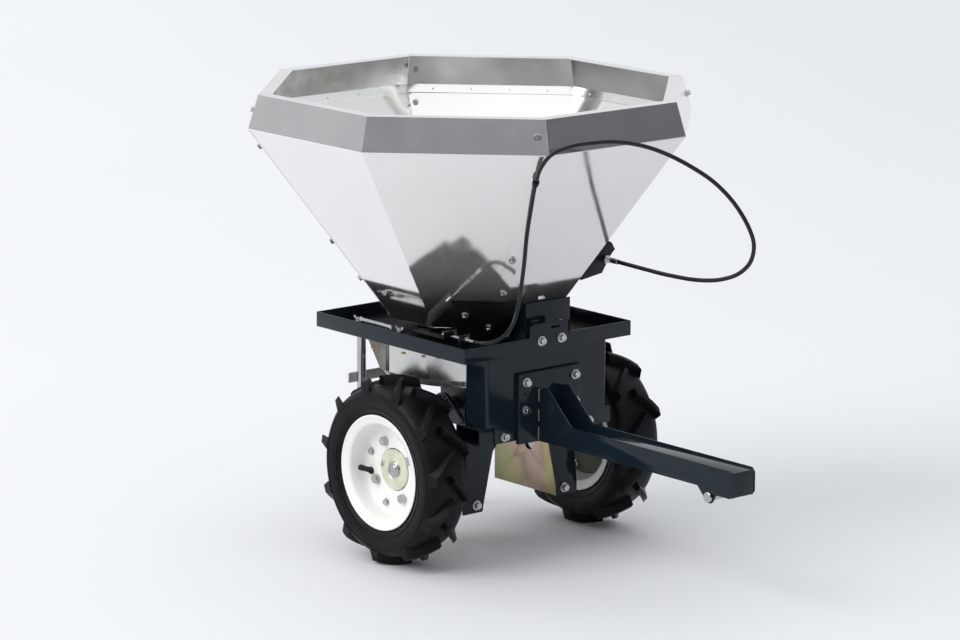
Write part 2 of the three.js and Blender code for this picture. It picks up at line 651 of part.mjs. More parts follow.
// Bevel pair: the two pitch cones meet where the countershaft and spinner axes cross.
const crownR = BEVEL_MODULE * CROWN_TEETH / 2;
const pinionR = BEVEL_MODULE * PINION_TEETH / 2;
const FACE = 0.3;
function bevel(axis, sign, radius, reach, bore) {
  const back = 9;
  const profile = [
    [bore + 0.4, sign * (reach * (1 - FACE) + 0.8)],
    [radius * (1 - FACE) - 1, sign * (reach * (1 - FACE) + 0.8)],
    [radius - 1, sign * (reach + 0.8)],
    [radius - 2.5, sign * (reach + back)],
    [bore + 0.4, sign * (reach + back)],
  ];
  return turned(axis, counterAt, profile, 24);
}
add('countershaft', rod('y', counterAt, -88, -6, COUNTER_R, 16), zinc);
add('bevel_gear', bevel('y', -1, crownR, pinionR, COUNTER_R), castIron);
add('bevel_pinion', bevel('z', 1, pinionR, crownR, SHAFT_R - 3), castIron);

const BOX = { x0: -115, x1: -19, y0: -46, y1: 24, z0: 240, z1: 338, t: 4 };
const boxHollow = box(
  BOX.x0 + BOX.t, BOX.x1 - BOX.t,
  BOX.y0 + BOX.t, BOX.y1 - BOX.t,
  BOX.z0 + BOX.t, BOX.z1 - BOX.t,
);
add('gearbox_housing',
  box(BOX.x0, BOX.x1, BOX.y0, BOX.y1, BOX.z0, BOX.z1)
    .subtract(boxHollow)
    .add(rod('y', counterAt, -58, BOX.y0 + 2, 15))
    .add(rod('z', counterAt, BOX.z1 - 2, 347, 15))
    .subtract(rod('y', counterAt, -70, -30, COUNTER_R + 0.4, 16))
    .subtract(rod('z', counterAt, 320, 360, SHAFT_R + 0.4, 16)), castIron);
const ARM = { y: 21, z0: 246, z1: 282, t: 3 };
const armHollow = box(BOX.x1 - 5, CROSS.x0 + 5, ARM.t - ARM.y, ARM.y - ARM.t, ARM.z0 - 5, ARM.z1 - ARM.t);
add('gearbox_arm',
  box(BOX.x1 + GAP, CROSS.x0 - GAP, -ARM.y, ARM.y, ARM.z0, ARM.z1).subtract(armHollow), navy);

// ---- spinner ----------------------------------------------------------------------
const discBore = SHAFT_R + 0.4;
const shaftFoot = COUNTER_Z + crownR * 0.7 + 1.5;
add('spinner_shaft',
  rod('z', counterAt, COUNTER_Z + crownR + 9.4, 536, SHAFT_R, 16)
    .add(rod('z', counterAt, shaftFoot, COUNTER_Z + crownR + 12, SHAFT_R - 3, 16)), zinc);
const VANE = { count: 4, from: 40, to: 178, height: 26, t: 2, foot: 16 };
let disc = rod('z', counterAt, DISC_Z, DISC_Z + 3, DISC_R, 48)
  .add(rod('z', counterAt, DISC_Z, DISC_Z + 22, 22, 20));
for (let i = 0; i < VANE.count; i += 1) {
  const z0 = DISC_Z + 2;
  const blade = box(VANE.from, VANE.to, 0, VANE.t, z0, z0 + VANE.height)
    .add(box(VANE.from, VANE.to, 0, VANE.foot, z0, z0 + VANE.t))
    .add(box(VANE.from, VANE.to, 0, VANE.foot, z0 + VANE.height - VANE.t, z0 + VANE.height));
  disc = disc.add(blade.rotate([0, 0, 45 + 90 * i]).translate([HOPPER_X, 0, 0]));
}
add('spinner_disc', disc.subtract(rod('z', counterAt, DISC_Z - 5, DISC_Z + 40, discBore, 16)), stainless);
add('agitator',
  rod('z', counterAt, 478, 512, 14, 16)
    .add(strut([HOPPER_X - 92, 0, 500], [HOPPER_X + 92, 0, 500], 5, 10))
    .add(strut([HOPPER_X, -66, 486], [HOPPER_X, 66, 486], 5, 10))
    .add(strut([HOPPER_X + 90, 0, 498], [HOPPER_X + 118, 0, 556], 5, 10))
    .add(strut([HOPPER_X - 90, 0, 498], [HOPPER_X - 118, 0, 556], 5, 10))
    .subtract(rod('z', counterAt, 470, 520, SHAFT_R + 0.4, 16)), zinc);

// The origin stands on the ground under the middle of the whole machine's length.
const rearX = HOPPER_X - BAND_LOW.a;
const part = new THREE.Group();
machine.position.x = -(rearX + BAR.x1) / 2;
part.add(machine);
export default part;
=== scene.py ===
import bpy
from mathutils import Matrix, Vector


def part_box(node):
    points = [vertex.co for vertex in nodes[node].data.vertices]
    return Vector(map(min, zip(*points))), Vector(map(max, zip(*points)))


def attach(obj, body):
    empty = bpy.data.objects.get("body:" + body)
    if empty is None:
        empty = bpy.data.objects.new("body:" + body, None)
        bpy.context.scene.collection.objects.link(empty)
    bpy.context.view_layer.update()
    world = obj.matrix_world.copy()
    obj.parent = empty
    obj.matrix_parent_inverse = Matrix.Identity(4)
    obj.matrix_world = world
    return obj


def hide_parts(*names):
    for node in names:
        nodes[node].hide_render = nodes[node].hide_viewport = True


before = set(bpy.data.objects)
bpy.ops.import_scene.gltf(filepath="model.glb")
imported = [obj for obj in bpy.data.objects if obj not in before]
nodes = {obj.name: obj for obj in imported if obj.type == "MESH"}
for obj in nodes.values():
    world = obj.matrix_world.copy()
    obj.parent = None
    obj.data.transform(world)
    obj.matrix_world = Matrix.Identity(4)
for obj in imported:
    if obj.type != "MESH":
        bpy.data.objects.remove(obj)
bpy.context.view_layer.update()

import math
import random

import bmesh
import bpy
from mathutils import Matrix, Vector

# All lengths are metres in the frame's axes: +X to the tow bar, +Y left, +Z up.
MM = 0.001


def middle(node):
    """The middle of a CAD node's box."""
    low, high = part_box(node)
    return (Vector(low) + Vector(high)) / 2


WHEEL = middle("tyre_right")
AXLE_X, AXLE_Z = WHEEL.x, WHEEL.z
TYRE_R = AXLE_Z
WHEEL_Y = abs(WHEEL.y)
HOPPER = middle("hopper_band")
HOPPER_X = HOPPER.x
BAND_LOW_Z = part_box("hopper_band")[0][2]
BAND_TOP_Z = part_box("hopper_band")[1][2]
BAND_LOW_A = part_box("hopper_band")[1][1]
BAND_LEAN = 19.4 * MM
BAND_TOP_A = BAND_LOW_A - BAND_LEAN
LIP = 27 * MM
FUNNEL_SLOPE = 0.686
FUNNEL_LOW_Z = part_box("hopper_sheet_front")[0][2]


def at_axle(x, y, z):
    """A point given in millimetres from the axle line and the ground."""
    return Vector((AXLE_X + x * MM, y * MM, z * MM))


def metres(points, flip=1):
    """A 2-D outline given in millimetres, with its second value mirrored where flip is -1."""
    return [(first * MM, flip * second * MM) for first, second in points]


# ---- camera and light ---------------------------------------------------------------
CAMERA_AZIMUTH, CAMERA_ELEVATION, CAMERA_ROLL = (math.radians(a) for a in (49.583, 12.068, 0.273))
CAMERA_TARGET = at_axle(-44.2, 0, 456.2)
CAMERA_DISTANCE = 8.3777
CAMERA_LENS_MM = 153.8
SENSOR_WIDTH_MM = 36


def make_camera():
    level = math.cos(CAMERA_ELEVATION)
    back = Vector((math.sin(CAMERA_AZIMUTH) * level, -math.cos(CAMERA_AZIMUTH) * level,
                   math.sin(CAMERA_ELEVATION)))
    data = bpy.data.cameras.new("camera")
    data.sensor_width = SENSOR_WIDTH_MM
    data.lens = CAMERA_LENS_MM
    data.clip_end = 100
    camera = bpy.data.objects.new("camera", data)
    camera.location = CAMERA_TARGET + back * CAMERA_DISTANCE
    turn = back.to_track_quat("Z", "Y").to_matrix() @ Matrix.Rotation(CAMERA_ROLL, 3, "Z")
    camera.rotation_euler = turn.to_euler()
    bpy.context.collection.objects.link(camera)
    bpy.context.scene.camera = camera


def faded(tree, value, start, end, low=0.0, high=1.0, smooth=True):
    """A socket that goes from low to high as value goes from start to end."""
    fade = tree.nodes.new("ShaderNodeMapRange")
    fade.interpolation_type = "SMOOTHSTEP" if smooth else "LINEAR"
    fade.inputs["From Min"].default_value = start
    fade.inputs["From Max"].default_value = end
    fade.inputs["To Min"].default_value = low
    fade.inputs["To Max"].default_value = high
    tree.links.new(value, fade.inputs["Value"])
    return fade.outputs["Result"]


def part_along(tree, vector, axis):
    """A socket with the part of a vector that lies along an axis."""
    dot = tree.nodes.new("ShaderNodeVectorMath")
    dot.operation = "DOT_PRODUCT"
    dot.inputs[1].default_value = axis
    tree.links.new(vector, dot.inputs[0])
    return dot.outputs["Value"]


STUDIO_WHITE = (0.80, 0.815, 0.835)
DARK_FAR_SIDE, DARK_NEAR_SIDE = (0.125, 0.128, 0.138), (0.255, 0.26, 0.272)
GLOW_WHITE = (1.18, 1.19, 1.20)
GLOW_TOWARD = Vector((0.331, -0.441, 0.834)).normalized()


def make_world():
    """A white studio with an overhead glow, and darker walls round the camera's side."""
    world = bpy.data.worlds.new("studio")
    bpy.context.scene.world = world
    world.use_nodes = True
    tree = world.node_tree
    background = tree.nodes["Background"]
    toward = tree.nodes.new("ShaderNodeTexCoord").outputs["Generated"]

    def along(axis, start, end):
        return faded(tree, part_along(tree, toward, axis), start, end)

    def product(first, second):
        times = tree.nodes.new("ShaderNodeMath")
        times.operation = "MULTIPLY"
        tree.links.new(first, times.inputs[0])
        tree.links.new(second, times.inputs[1])
        return times.outputs["Value"]

    def blend(factor, before, after):
        mix = tree.nodes.new("ShaderNodeMix")
        mix.data_type = "RGBA"
        tree.links.new(factor, mix.inputs["Factor"])
        for socket, value in (("A", before), ("B", after)):
            if isinstance(value, tuple):
                mix.inputs[socket].default_value = (*value, 1)
            else:
                tree.links.new(value, mix.inputs[socket])
        return mix.outputs["Result"]

    wall_colour = blend(along((0.3, -0.95, 0), -0.5, 0.9), DARK_FAR_SIDE, DARK_NEAR_SIDE)
    wall_height = product(along((0, 0, 1), -0.02, 0.06), along((0, 0, -1), -0.56, -0.40))
    walls = product(wall_height, along((0.76, -0.65, 0), -0.45, 0.05))
    shade = blend(walls, STUDIO_WHITE, wall_colour)
    shade = blend(along(GLOW_TOWARD, 0.94, 0.985), shade, GLOW_WHITE)
    tree.links.new(shade, background.inputs["Color"])
    background.inputs["Strength"].default_value = 1.0


def soft_sun(name, toward, power, width):
    """A distant softbox, even over the whole floor; width is the angle it fills, in degrees."""
    data = bpy.data.lights.new(name, "SUN")
    data.energy = power
    data.angle = math.radians(width)
    light = bpy.data.objects.new(name, data)
    light.rotation_euler = Vector(toward).to_track_quat("Z", "Y").to_euler()
    bpy.context.collection.objects.link(light)


FLOOR_HALF_SIZE = 60
# Painted shade on the floor: its colour darkens along this slope, to the right and the back.
FLOOR_SHADE_SLOPE = Vector((-0.033, -0.070, 0))


def make_stage():
    """Two softboxes over a paper floor with painted shade, which darkens it a little to the right and the
    back.
    """
    soft_sun("overhead_softbox", toward=(-0.50, 0.15, 1.0), power=0.5, width=70)
    soft_sun("left_softbox", toward=(-0.20, -0.78, 0.57), power=1.5, width=42)
    bm = bmesh.new()
    bmesh.ops.create_grid(bm, x_segments=1, y_segments=1, size=FLOOR_HALF_SIZE)
    mesh = bpy.data.meshes.new("floor")
    bm.to_mesh(mesh)
    floor = bpy.data.objects.new("floor", mesh)
    bpy.context.collection.objects.link(floor)
    paper = surface("floor_paper", (0.685, 0.700, 0.716), (0.822, 0.832, 0.850), 0.6, rough=(0.75, 0.85),
                    Specular_IOR_Level=0.15)
    mesh.materials.append(swept(paper, FLOOR_SHADE_SLOPE, 0.55, waver=0.06))


# ---- materials ------------------------------------------------------------------------
EVEN = (1, 1, 1)
NOISE_LOW, NOISE_HIGH = 0.3, 0.7
ROUGHNESS_SCALE = 3.1


def find_node(material, kind):
    return next(n for n in material.node_tree.nodes if n.bl_idname == kind)


def surface(name, dark, light, scale, rough, bumps=(), **sockets):
    """Principled material: colour drifts from dark to light, roughness between two values,
    and each (scale, strength, stretch) in bumps adds a noise relief."""
    material = bpy.data.materials.new(name)
    material.use_nodes = True
    tree = material.node_tree
    shader = tree.nodes["Principled BSDF"]
    for socket, value in sockets.items():
        shader.inputs[socket.replace("_", " ")].default_value = value
    coords = tree.nodes.new("ShaderNodeTexCoord").outputs["Object"]

    def noise(noise_scale, stretch=EVEN, detail=4):
        mapping = tree.nodes.new("ShaderNodeMapping")
        mapping.inputs["Scale"].default_value = stretch
        texture = tree.nodes.new("ShaderNodeTexNoise")
        texture.inputs["Scale"].default_value = noise_scale
        texture.inputs["Detail"].default_value = detail
        tree.links.new(coords, mapping.inputs["Vector"])
        tree.links.new(mapping.outputs["Vector"], texture.inputs["Vector"])
        return texture.outputs["Fac"]

    colour_noise = noise(scale)
    ramp = tree.nodes.new("ShaderNodeValToRGB")
    for stop, place, colour in zip(ramp.color_ramp.elements, (NOISE_LOW, NOISE_HIGH), (dark, light)):
        stop.position = place
        stop.color = (*colour, 1)
    tree.links.new(colour_noise, ramp.inputs["Fac"])
    tree.links.new(ramp.outputs["Color"], shader.inputs["Base Color"])
    spread = faded(tree, noise(scale * ROUGHNESS_SCALE), NOISE_LOW, NOISE_HIGH, *rough, smooth=False)
    tree.links.new(spread, shader.inputs["Roughness"])
    normal = None
    for bump_scale, strength, stretch in bumps:
        bump = tree.nodes.new("ShaderNodeBump")
        bump.inputs["Strength"].default_value = strength
        bump.inputs["Distance"].default_value = MM
        tree.links.new(noise(bump_scale, stretch, 3), bump.inputs["Height"])
        if normal:
            tree.links.new(normal, bump.inputs["Normal"])
        normal = bump.outputs["Normal"]
    if normal:
        tree.links.new(normal, shader.inputs["Normal"])
    return material


def hazed_with_shade_below(material, low, high, metallic_below, metallic_above):
    """Metallic falls from metallic_below to metallic_above between two heights: painted shade keeps the lower
    part a darker pure mirror, under a diffuse haze higher up.
    """
    tree = material.node_tree
    coords = find_node(material, "ShaderNodeTexCoord").outputs["Object"]
    height = part_along(tree, coords, (0, 0, 1))
    metallic = faded(tree, height, low, high, metallic_below, metallic_above)
    tree.links.new(metallic, tree.nodes["Principled BSDF"].inputs["Metallic"])
    return material


def tinted(material, stops, scale):
    """Replaces the colour ramp's stops by a longer list, for tempered and passivated metal."""
    ramp = find_node(material, "ShaderNodeValToRGB").color_ramp
    while len(ramp.elements) > 1:
        ramp.elements.remove(ramp.elements[-1])
    ramp.elements[0].position, ramp.elements[0].color = stops[0][0], (*stops[0][1], 1)
    for position, colour in stops[1:]:
        ramp.elements.new(position).color = (*colour, 1)
    find_node(material, "ShaderNodeTexNoise").inputs["Scale"].default_value = scale
    return material


def swept(material, slope, offset, waver=0.7):
    """The colour ramp follows position along a slope, and the noise makes it waver."""
    tree = material.node_tree
    ramp = find_node(material, "ShaderNodeValToRGB")
    noise = ramp.inputs["Fac"].links[0].from_socket
    coords = find_node(material, "ShaderNodeTexCoord").outputs["Object"]
    drift = tree.nodes.new("ShaderNodeMath")
    drift.operation = "MULTIPLY_ADD"
    drift.inputs[1].default_value = waver
    drift.inputs[2].default_value = offset - waver / 2
    total = tree.nodes.new("ShaderNodeMath")
    tree.links.new(noise, drift.inputs[0])
    tree.links.new(part_along(tree, coords, slope), total.inputs[0])
    tree.links.new(drift.outputs["Value"], total.inputs[1])
    tree.links.new(total.outputs["Value"], ramp.inputs["Fac"])
    return material


# Painted shade: this stainless is a pure, darker mirror low down and hazed higher up.
STAINLESS = hazed_with_shade_below(surface("stainless", (0.85, 0.845, 0.835), (0.89, 0.885, 0.875), 5, rough=(0.05, 0.10),
                          bumps=((4.5, 0.5, EVEN), (900, 0.015, (1, 1, 0.05)))), 0.49, 0.62, 1.0, 0.84)
BAND_STEEL = surface("band_stainless", (0.80, 0.80, 0.80), (0.86, 0.86, 0.86), 7, rough=(0.10, 0.17),
                     bumps=((6, 0.6, EVEN), (900, 0.03, (1, 1, 0.05))), Metallic=0.96)
# Painted shade: a darker copy of the band's steel for the faces that look into the hopper.
BAND_INSIDE_SHADE = surface("band_inside_shade", (0.52, 0.52, 0.515), (0.60, 0.60, 0.595), 9, rough=(0.14, 0.22),
                      bumps=((6, 0.8, EVEN), (900, 0.03, (1, 1, 0.05))), Metallic=1.0)
STAINLESS_DULL = surface("stainless_guard", (0.50, 0.495, 0.485), (0.62, 0.615, 0.60), 9, rough=(0.20, 0.30),
                         bumps=((7, 1.0, EVEN), (700, 0.02, (0.1, 0.1, 1))), Metallic=1.0)
# Dark steel for the stitch welds; on the guard's side wings the same dark finish is a painted reflection of
# the tyre beside them.
DARK_STEEL_AND_SHADE = surface("dark_steel_and_shade", (0.13, 0.125, 0.11), (0.27, 0.26, 0.24), 14, rough=(0.16, 0.24),
                       bumps=((9, 1.0, EVEN),), Metallic=1.0)
# Painted highlight: a near-white finish for the thin rod along the band's lower fold.
FOLD_HIGHLIGHT = surface("fold_highlight", (0.86, 0.86, 0.86), (0.93, 0.93, 0.93), 20, rough=(0.3, 0.4),
                     bumps=((300, 0.1, EVEN),), Metallic=0.15)
GALVANISED = surface("galvanised_bar", (0.58, 0.59, 0.60), (0.68, 0.69, 0.70), 30, rough=(0.42, 0.52),
                     bumps=((320, 0.08, EVEN),), Metallic=0.35)
NAVY = surface("navy_paint", (0.007, 0.013, 0.0195), (0.009, 0.0165, 0.024), 8, rough=(0.09, 0.15),
               bumps=((300, 0.015, EVEN),), Specular_IOR_Level=0.25)
# Painted shade: a darker, matter navy for the tray's floor under the hopper.
NAVY_FLOOR_SHADE = surface("navy_paint_floor_shade", (0.0022, 0.0026, 0.0032), (0.0034, 0.004, 0.0048), 14,
                    rough=(0.55, 0.7), bumps=((300, 0.1, EVEN),), Specular_IOR_Level=0.12)
# Black paint for the black parts; the same dark finish is painted shade on the discs that stand in for holes.
BLACK_PAINT_AND_HOLE_SHADE = surface("black_paint_and_hole_shade", (0.004, 0.0045, 0.0055), (0.006, 0.0065, 0.008), 9, rough=(0.34, 0.44),
                      bumps=((520, 0.06, EVEN),), Specular_IOR_Level=0.25)
WHITE_PAINT = surface("white_paint", (0.90, 0.90, 0.87), (0.935, 0.935, 0.91), 12, rough=(0.3, 0.38),
                      bumps=((380, 0.05, EVEN),), Coat_Weight=0.25, Coat_Roughness=0.2)
ZINC = surface("bright_zinc", (0.42, 0.425, 0.43), (0.50, 0.505, 0.51), 30, rough=(0.16, 0.24),
               bumps=((500, 0.03, EVEN),), Metallic=1.0)
HUB_ZINC = surface("hub_zinc", (0.66, 0.66, 0.50), (0.84, 0.84, 0.68), 45, rough=(0.16, 0.26),
                   bumps=((40, 0.8, EVEN), (500, 0.05, EVEN)), Metallic=0.8)
GOLD_STOPS = [(0.0, (0.16, 0.165, 0.09)), (0.22, (0.27, 0.25, 0.13)), (0.42, (0.33, 0.245, 0.20)),
              (0.72, (0.36, 0.265, 0.225)), (0.9, (0.43, 0.37, 0.17)), (1.0, (0.45, 0.40, 0.20))]
GOLD_ZINC = swept(tinted(surface("gold_zinc", (1, 1, 1), (1, 1, 1), 4, rough=(0.16, 0.24),
                                 bumps=((500, 0.04, EVEN),), Metallic=1.0), GOLD_STOPS, 7),
                  Vector((5.6, 0, 1.9)), 0.98)
HEAT_STOPS = [(0.3, (0.42, 0.40, 0.38)), (0.45, (0.55, 0.30, 0.10)), (0.58, (0.34, 0.16, 0.06)),
              (0.7, (0.16, 0.13, 0.18))]
HEAT_TINT = tinted(surface("heat_tint", (1, 1, 1), (1, 1, 1), 60, rough=(0.3, 0.5),
                           bumps=((240, 0.5, EVEN),), Metallic=1.0), HEAT_STOPS, 90)
OLIVE_ZINC = surface("olive_zinc", (0.055, 0.058, 0.042), (0.085, 0.088, 0.066), 25, rough=(0.4, 0.5),
                     bumps=((300, 0.1, EVEN),), Metallic=0.5)
IRON = surface("dark_iron", (0.05, 0.052, 0.055), (0.10, 0.10, 0.105), 30, rough=(0.4, 0.6),
               bumps=((260, 0.3, EVEN),), Metallic=0.8)
RUBBER = surface("tyre_rubber", (0.0028, 0.0032, 0.0040), (0.0046, 0.0052, 0.0062), 18, rough=(0.34, 0.48),
                 bumps=((30, 0.5, EVEN), (700, 0.25, EVEN)), Specular_IOR_Level=0.16)
CABLE_BLACK = surface("cable_jacket", (0.007, 0.0075, 0.0085), (0.011, 0.0115, 0.013), 40, rough=(0.28, 0.36),
                      bumps=((600, 0.08, EVEN),), Specular_IOR_Level=0.34)


# ---- mesh helpers -----------------------------------------------------------------------
def piece(name, bm, material, body="frame", replaces=(), sharp=35):
    """An object of the visual model from a bmesh; edges over `sharp` degrees stay crisp."""
    bmesh.ops.recalc_face_normals(bm, faces=bm.faces)
    mesh = bpy.data.meshes.new(name)
    bm.to_mesh(mesh)
    bm.free()
    mesh.polygons.foreach_set("use_smooth", [True] * len(mesh.polygons))
    mesh.set_sharp_from_angle(angle=math.radians(sharp))
    mesh.materials.append(material)
    obj = bpy.data.objects.new(name, mesh)
    bpy.context.collection.objects.link(obj)
    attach(obj, body)
    if replaces:
        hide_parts(*replaces)
    return obj


def bevelled(bm, width, segments=2, angle=25):
    """Rounds every edge whose faces meet at more than `angle` degrees."""
    sharp = [edge for edge in bm.edges
             if len(edge.link_faces) == 2 and edge.calc_face_angle(0) > math.radians(angle)]
    bmesh.ops.bevel(bm, geom=sharp, offset=width, segments=segments, profile=0.6, affect="EDGES",
                    clamp_overlap=True)
    return bm


def refined(node, material, body="frame", width=0.8 * MM, segments=2):
    """A CAD piece with its flats joined into whole faces and its edges rounded."""
    source = nodes[node]
    bm = bmesh.new()
    bm.from_mesh(source.data)
    bmesh.ops.transform(bm, matrix=source.matrix_world, verts=bm.verts)
    bmesh.ops.remove_doubles(bm, verts=bm.verts, dist=2e-6)
    bmesh.ops.dissolve_limit(bm, angle_limit=math.radians(0.6), verts=bm.verts, edges=bm.edges)
    bevelled(bm, width, segments)
    return piece(node + "_fine", bm, material, body, (node,))


def repaint(obj, material, wanted):
    """A second finish on the faces for which wanted(centre, normal) is true."""
    obj.data.materials.append(material)
    for face in obj.data.polygons:
        if wanted(face.center, face.normal):
            face.material_index = 1


def axes_for(direction):
    """A rotation whose Z axis points along direction."""
    return Vector(direction).to_track_quat("Z", "Y").to_matrix().to_4x4()


def lathe(profile, at=(0, 0, 0), along=(0, 0, 1), segments=48, closed=True):
    """Turns (radius, distance) points about a line through `at`; closed joins last to first."""
    bm = bmesh.new()
    rings = []
    for radius, distance in profile:
        if radius < 1e-6:
            rings.append([bm.verts.new((0, 0, distance))])
            continue
        rings.append([bm.verts.new((radius * math.cos(2 * math.pi * i / segments),
                                    radius * math.sin(2 * math.pi * i / segments), distance))
                      for i in range(segments)])
    pairs = list(zip(rings, rings[1:]))
    if closed and len(rings[0]) > 1 and len(rings[-1]) > 1:
        pairs.append((rings[-1], rings[0]))
    for low, high in pairs:
        for i in range(segments):
            j = (i + 1) % segments
            corners = [low[i % len(low)], low[j % len(low)], high[j % len(high)], high[i % len(high)]]
            unique = list(dict.fromkeys(corners))
            if len(unique) > 2:
                bm.faces.new(unique)
    bmesh.ops.transform(bm, matrix=Matrix.Translation(at) @ axes_for(along), verts=bm.verts)
    return bm


def rounded(points, radius, steps=4, closed=True):
    """Rounds the corners of a 2-D outline with arcs of at most the given radius."""
    result = []
    count = len(points)
    for i, point in enumerate(points):
        if not closed and i in (0, count - 1):
            result.append(tuple(point))
            continue
        here = Vector(point)
        before = Vector(points[i - 1]) - here
        after = Vector(points[(i + 1) % count]) - here
        reach = min(radius, before.length * 0.45, after.length * 0.45)
        start = here + before.normalized() * reach
        end = here + after.normalized() * reach
        for k in range(steps + 1):
            t = k / steps
            spot = start * (1 - t) ** 2 + here * 2 * t * (1 - t) + end * t ** 2
            result.append(tuple(spot))
    return result


def skin(bm, rings):
    """Walls between rings of the same number of vertices, and a cap at each end."""
    for low, high in zip(rings, rings[1:]):
        for i in range(len(low)):
            j = (i + 1) % len(low)
            bm.faces.new((low[i], low[j], high[j], high[i]))
    bm.faces.new(rings[0])
    bm.faces.new(list(reversed(rings[-1])))
    return bm


def slab(bottom, top):
    """A solid between two outlines of 3-D points."""
    bm = bmesh.new()
    low, high = ([bm.verts.new(point) for point in outline] for outline in (bottom, top))
    bm.faces.new(low)
    bm.faces.new(list(reversed(high)))
    for i in range(len(low)):
        j = (i + 1) % len(low)
        bm.faces.new((low[i], high[i], high[j], low[j]))
    return bm


def prism(outline, low, high, plane="xy"):
    """An outline in a plane, extruded between two values of the third axis."""
    place = {"xy": lambda u, v, w: (u, v, w), "xz": lambda u, v, w: (u, w, v),
             "yz": lambda u, v, w: (w, u, v)}[plane]
    return slab([place(u, v, low) for u, v in outline], [place(u, v, high) for u, v in outline])


def merged(parts):
    """One bmesh made of several, which are used up."""
    whole = bmesh.new()
    for part in parts:
        mesh = bpy.data.meshes.new("part")
        part.to_mesh(mesh)
        part.free()
        whole.from_mesh(mesh)
        bpy.data.meshes.remove(mesh)
    return whole


def moved(bm, matrix):
    bmesh.ops.transform(bm, matrix=matrix, verts=bm.verts)
    return bm


def hexagon(flats):
    """A hexagon's outline from its width across flats."""
    radius = flats / math.sqrt(3)
    turns = [math.radians(60 * k) for k in range(6)]
    return [(radius * math.cos(turn), radius * math.sin(turn)) for turn in turns]


def bolt(at, out, flats, washer=True, proud=0.0, turn=0.0):
    """A hex head with a chamfered crown on a washer, standing on a face at `at`."""
    height = flats * 0.55
    base = flats * 0.13 if washer else 0
    parts = []
    if washer:
        parts.append(lathe(rounded([(0, 0), (flats * 0.80, 0), (flats * 0.80, base), (0, base)], flats * 0.04,
                                   2, closed=False), segments=28, closed=False))
    crown = prism(hexagon(flats), base, base + height)
    parts.append(bevelled(crown, flats * 0.05, 2))
    parts.append(lathe([(0, base + height * 0.9), (flats * 0.46, base + height * 0.9),
                        (flats * 0.40, base + height * 1.12), (flats * 0.12, base + height * 1.14),
                        (0, base + height * 1.05)], segments=24, closed=False))
    if proud:
        parts.append(thread((0, 0, base + height), (0, 0, 1), flats * 0.3, proud))
    head = moved(merged(parts), Matrix.Rotation(turn, 4, "Z"))
    return moved(head, Matrix.Translation(at) @ axes_for(out))


def thread(at, along, radius, length, pitch=1.2 * MM):
    """A threaded stud, as close rings."""
    turns = max(3, round(length / pitch))
    profile = [(0, 0)]
    for k in range(turns):
        profile.append((radius * 0.86, length * k / turns))
        profile.append((radius, length * (k + 0.5) / turns))
    profile += [(radius * 0.8, length), (0, length)]
    return lathe(profile, at, along, segments=20, closed=False)


SIXTH_TURN = 1.05


def bolts(name, places, flats, body="frame", **style):
    """One piece with a bolt at each (point, direction), each turned by chance."""
    chance = random.Random(name)
    heads = [bolt(at, out, flats, turn=chance.uniform(0, SIXTH_TURN), **style) for at, out in places]
    return piece(name, merged(heads), ZINC, body)


def bar(radius, start, end, segments=24, chamfer=0.6 * MM):
    """A round bar with chamfered ends between two points."""
    start, end = Vector(start), Vector(end)
    length = (end - start).length
    profile = [(0, 0), (radius - chamfer, 0), (radius, chamfer), (radius, length - chamfer),
               (radius - chamfer, length), (0, length)]
    return lathe(profile, start, end - start, segments, closed=False)


# ---- hopper -------------------------------------------------------------------------------
SHEET = 2 * MM
HALF_SIDE = 22.5
SIDES = {"front": 0, "left": 90, "rear": 180, "right": 270}
CLIP_BOLT_Z = 0.835
SEAM_BOLT_Z = (0.555, 0.634, CLIP_BOLT_Z)
BAND_BOLT_RISE = 0.28
RIVET_ANGLES = (-16, -5.5, 5.5, 16)
HEM_RADIUS = 1.15 * MM


def funnel(z):
    """The funnel's apothem, from the middle to a flat side, at a height."""
    return BAND_LOW_A + (z - BAND_LOW_Z) * FUNNEL_SLOPE


def band(z):
    """The band's apothem at a height."""
    return BAND_LOW_A - (z - BAND_LOW_Z) * BAND_LEAN / (BAND_TOP_Z - BAND_LOW_Z)


def away(angle, rise):
    """A unit vector away from the hopper's middle at a plan angle, rising by `rise` per unit."""
    a = math.radians(angle)
    return Vector((math.cos(a), math.sin(a), rise)).normalized()


def sideways(angle):
    """A level unit vector along the side that faces a plan angle."""
    a = math.radians(angle)
    return Vector((-math.sin(a), math.cos(a), 0))


def on_side(a, z, angle, normal):
    """The point at plan angle `angle` on the flat side whose normal is `normal`, degrees."""
    r = a / math.cos(math.radians(angle - normal))
    t = math.radians(angle)
    return Vector((HOPPER_X + r * math.cos(t), r * math.sin(t), z))


def folded(profile, normal, gap=0.03):
    """A sheet folded over two sides, with an (apothem, height) profile; gap is in degrees."""
    bm = bmesh.new()
    stations = ((normal - HALF_SIDE + gap, normal), (normal + HALF_SIDE, normal),
                (normal + 3 * HALF_SIDE - gap, normal + 2 * HALF_SIDE))
    rings = [[bm.verts.new(on_side(a, z, angle, facing)) for a, z in profile]
             for angle, facing in stations]
    return skin(bm, rings)


def corner(angle, a, z, normal, along, out):
    """A point `along` metres from the corner at `angle` on the side `normal`, `out` proud of it."""
    return on_side(a, z, angle, normal) + sideways(normal) * along + away(normal, -FUNNEL_SLOPE) * out


def lap(seam, normal, width, z0, z1, thickness):
    """The flat strip of sheet that laps over the next sheet along a seam of the funnel."""
    outline = ((z0, 0.0), (z1, 0.0), (z1, -width), (z0, -width))
    return slab(*([corner(seam, funnel(z), z, normal, along, out) for z, along in outline]
                  for out in (0.2 * MM, thickness)))


def faces_inward(centre, normal):
    """True for a face of the band that looks at the hopper's middle."""
    return normal.x * (centre.x - HOPPER_X) + normal.y * centre.y < 0 and centre.z > BAND_LOW_Z


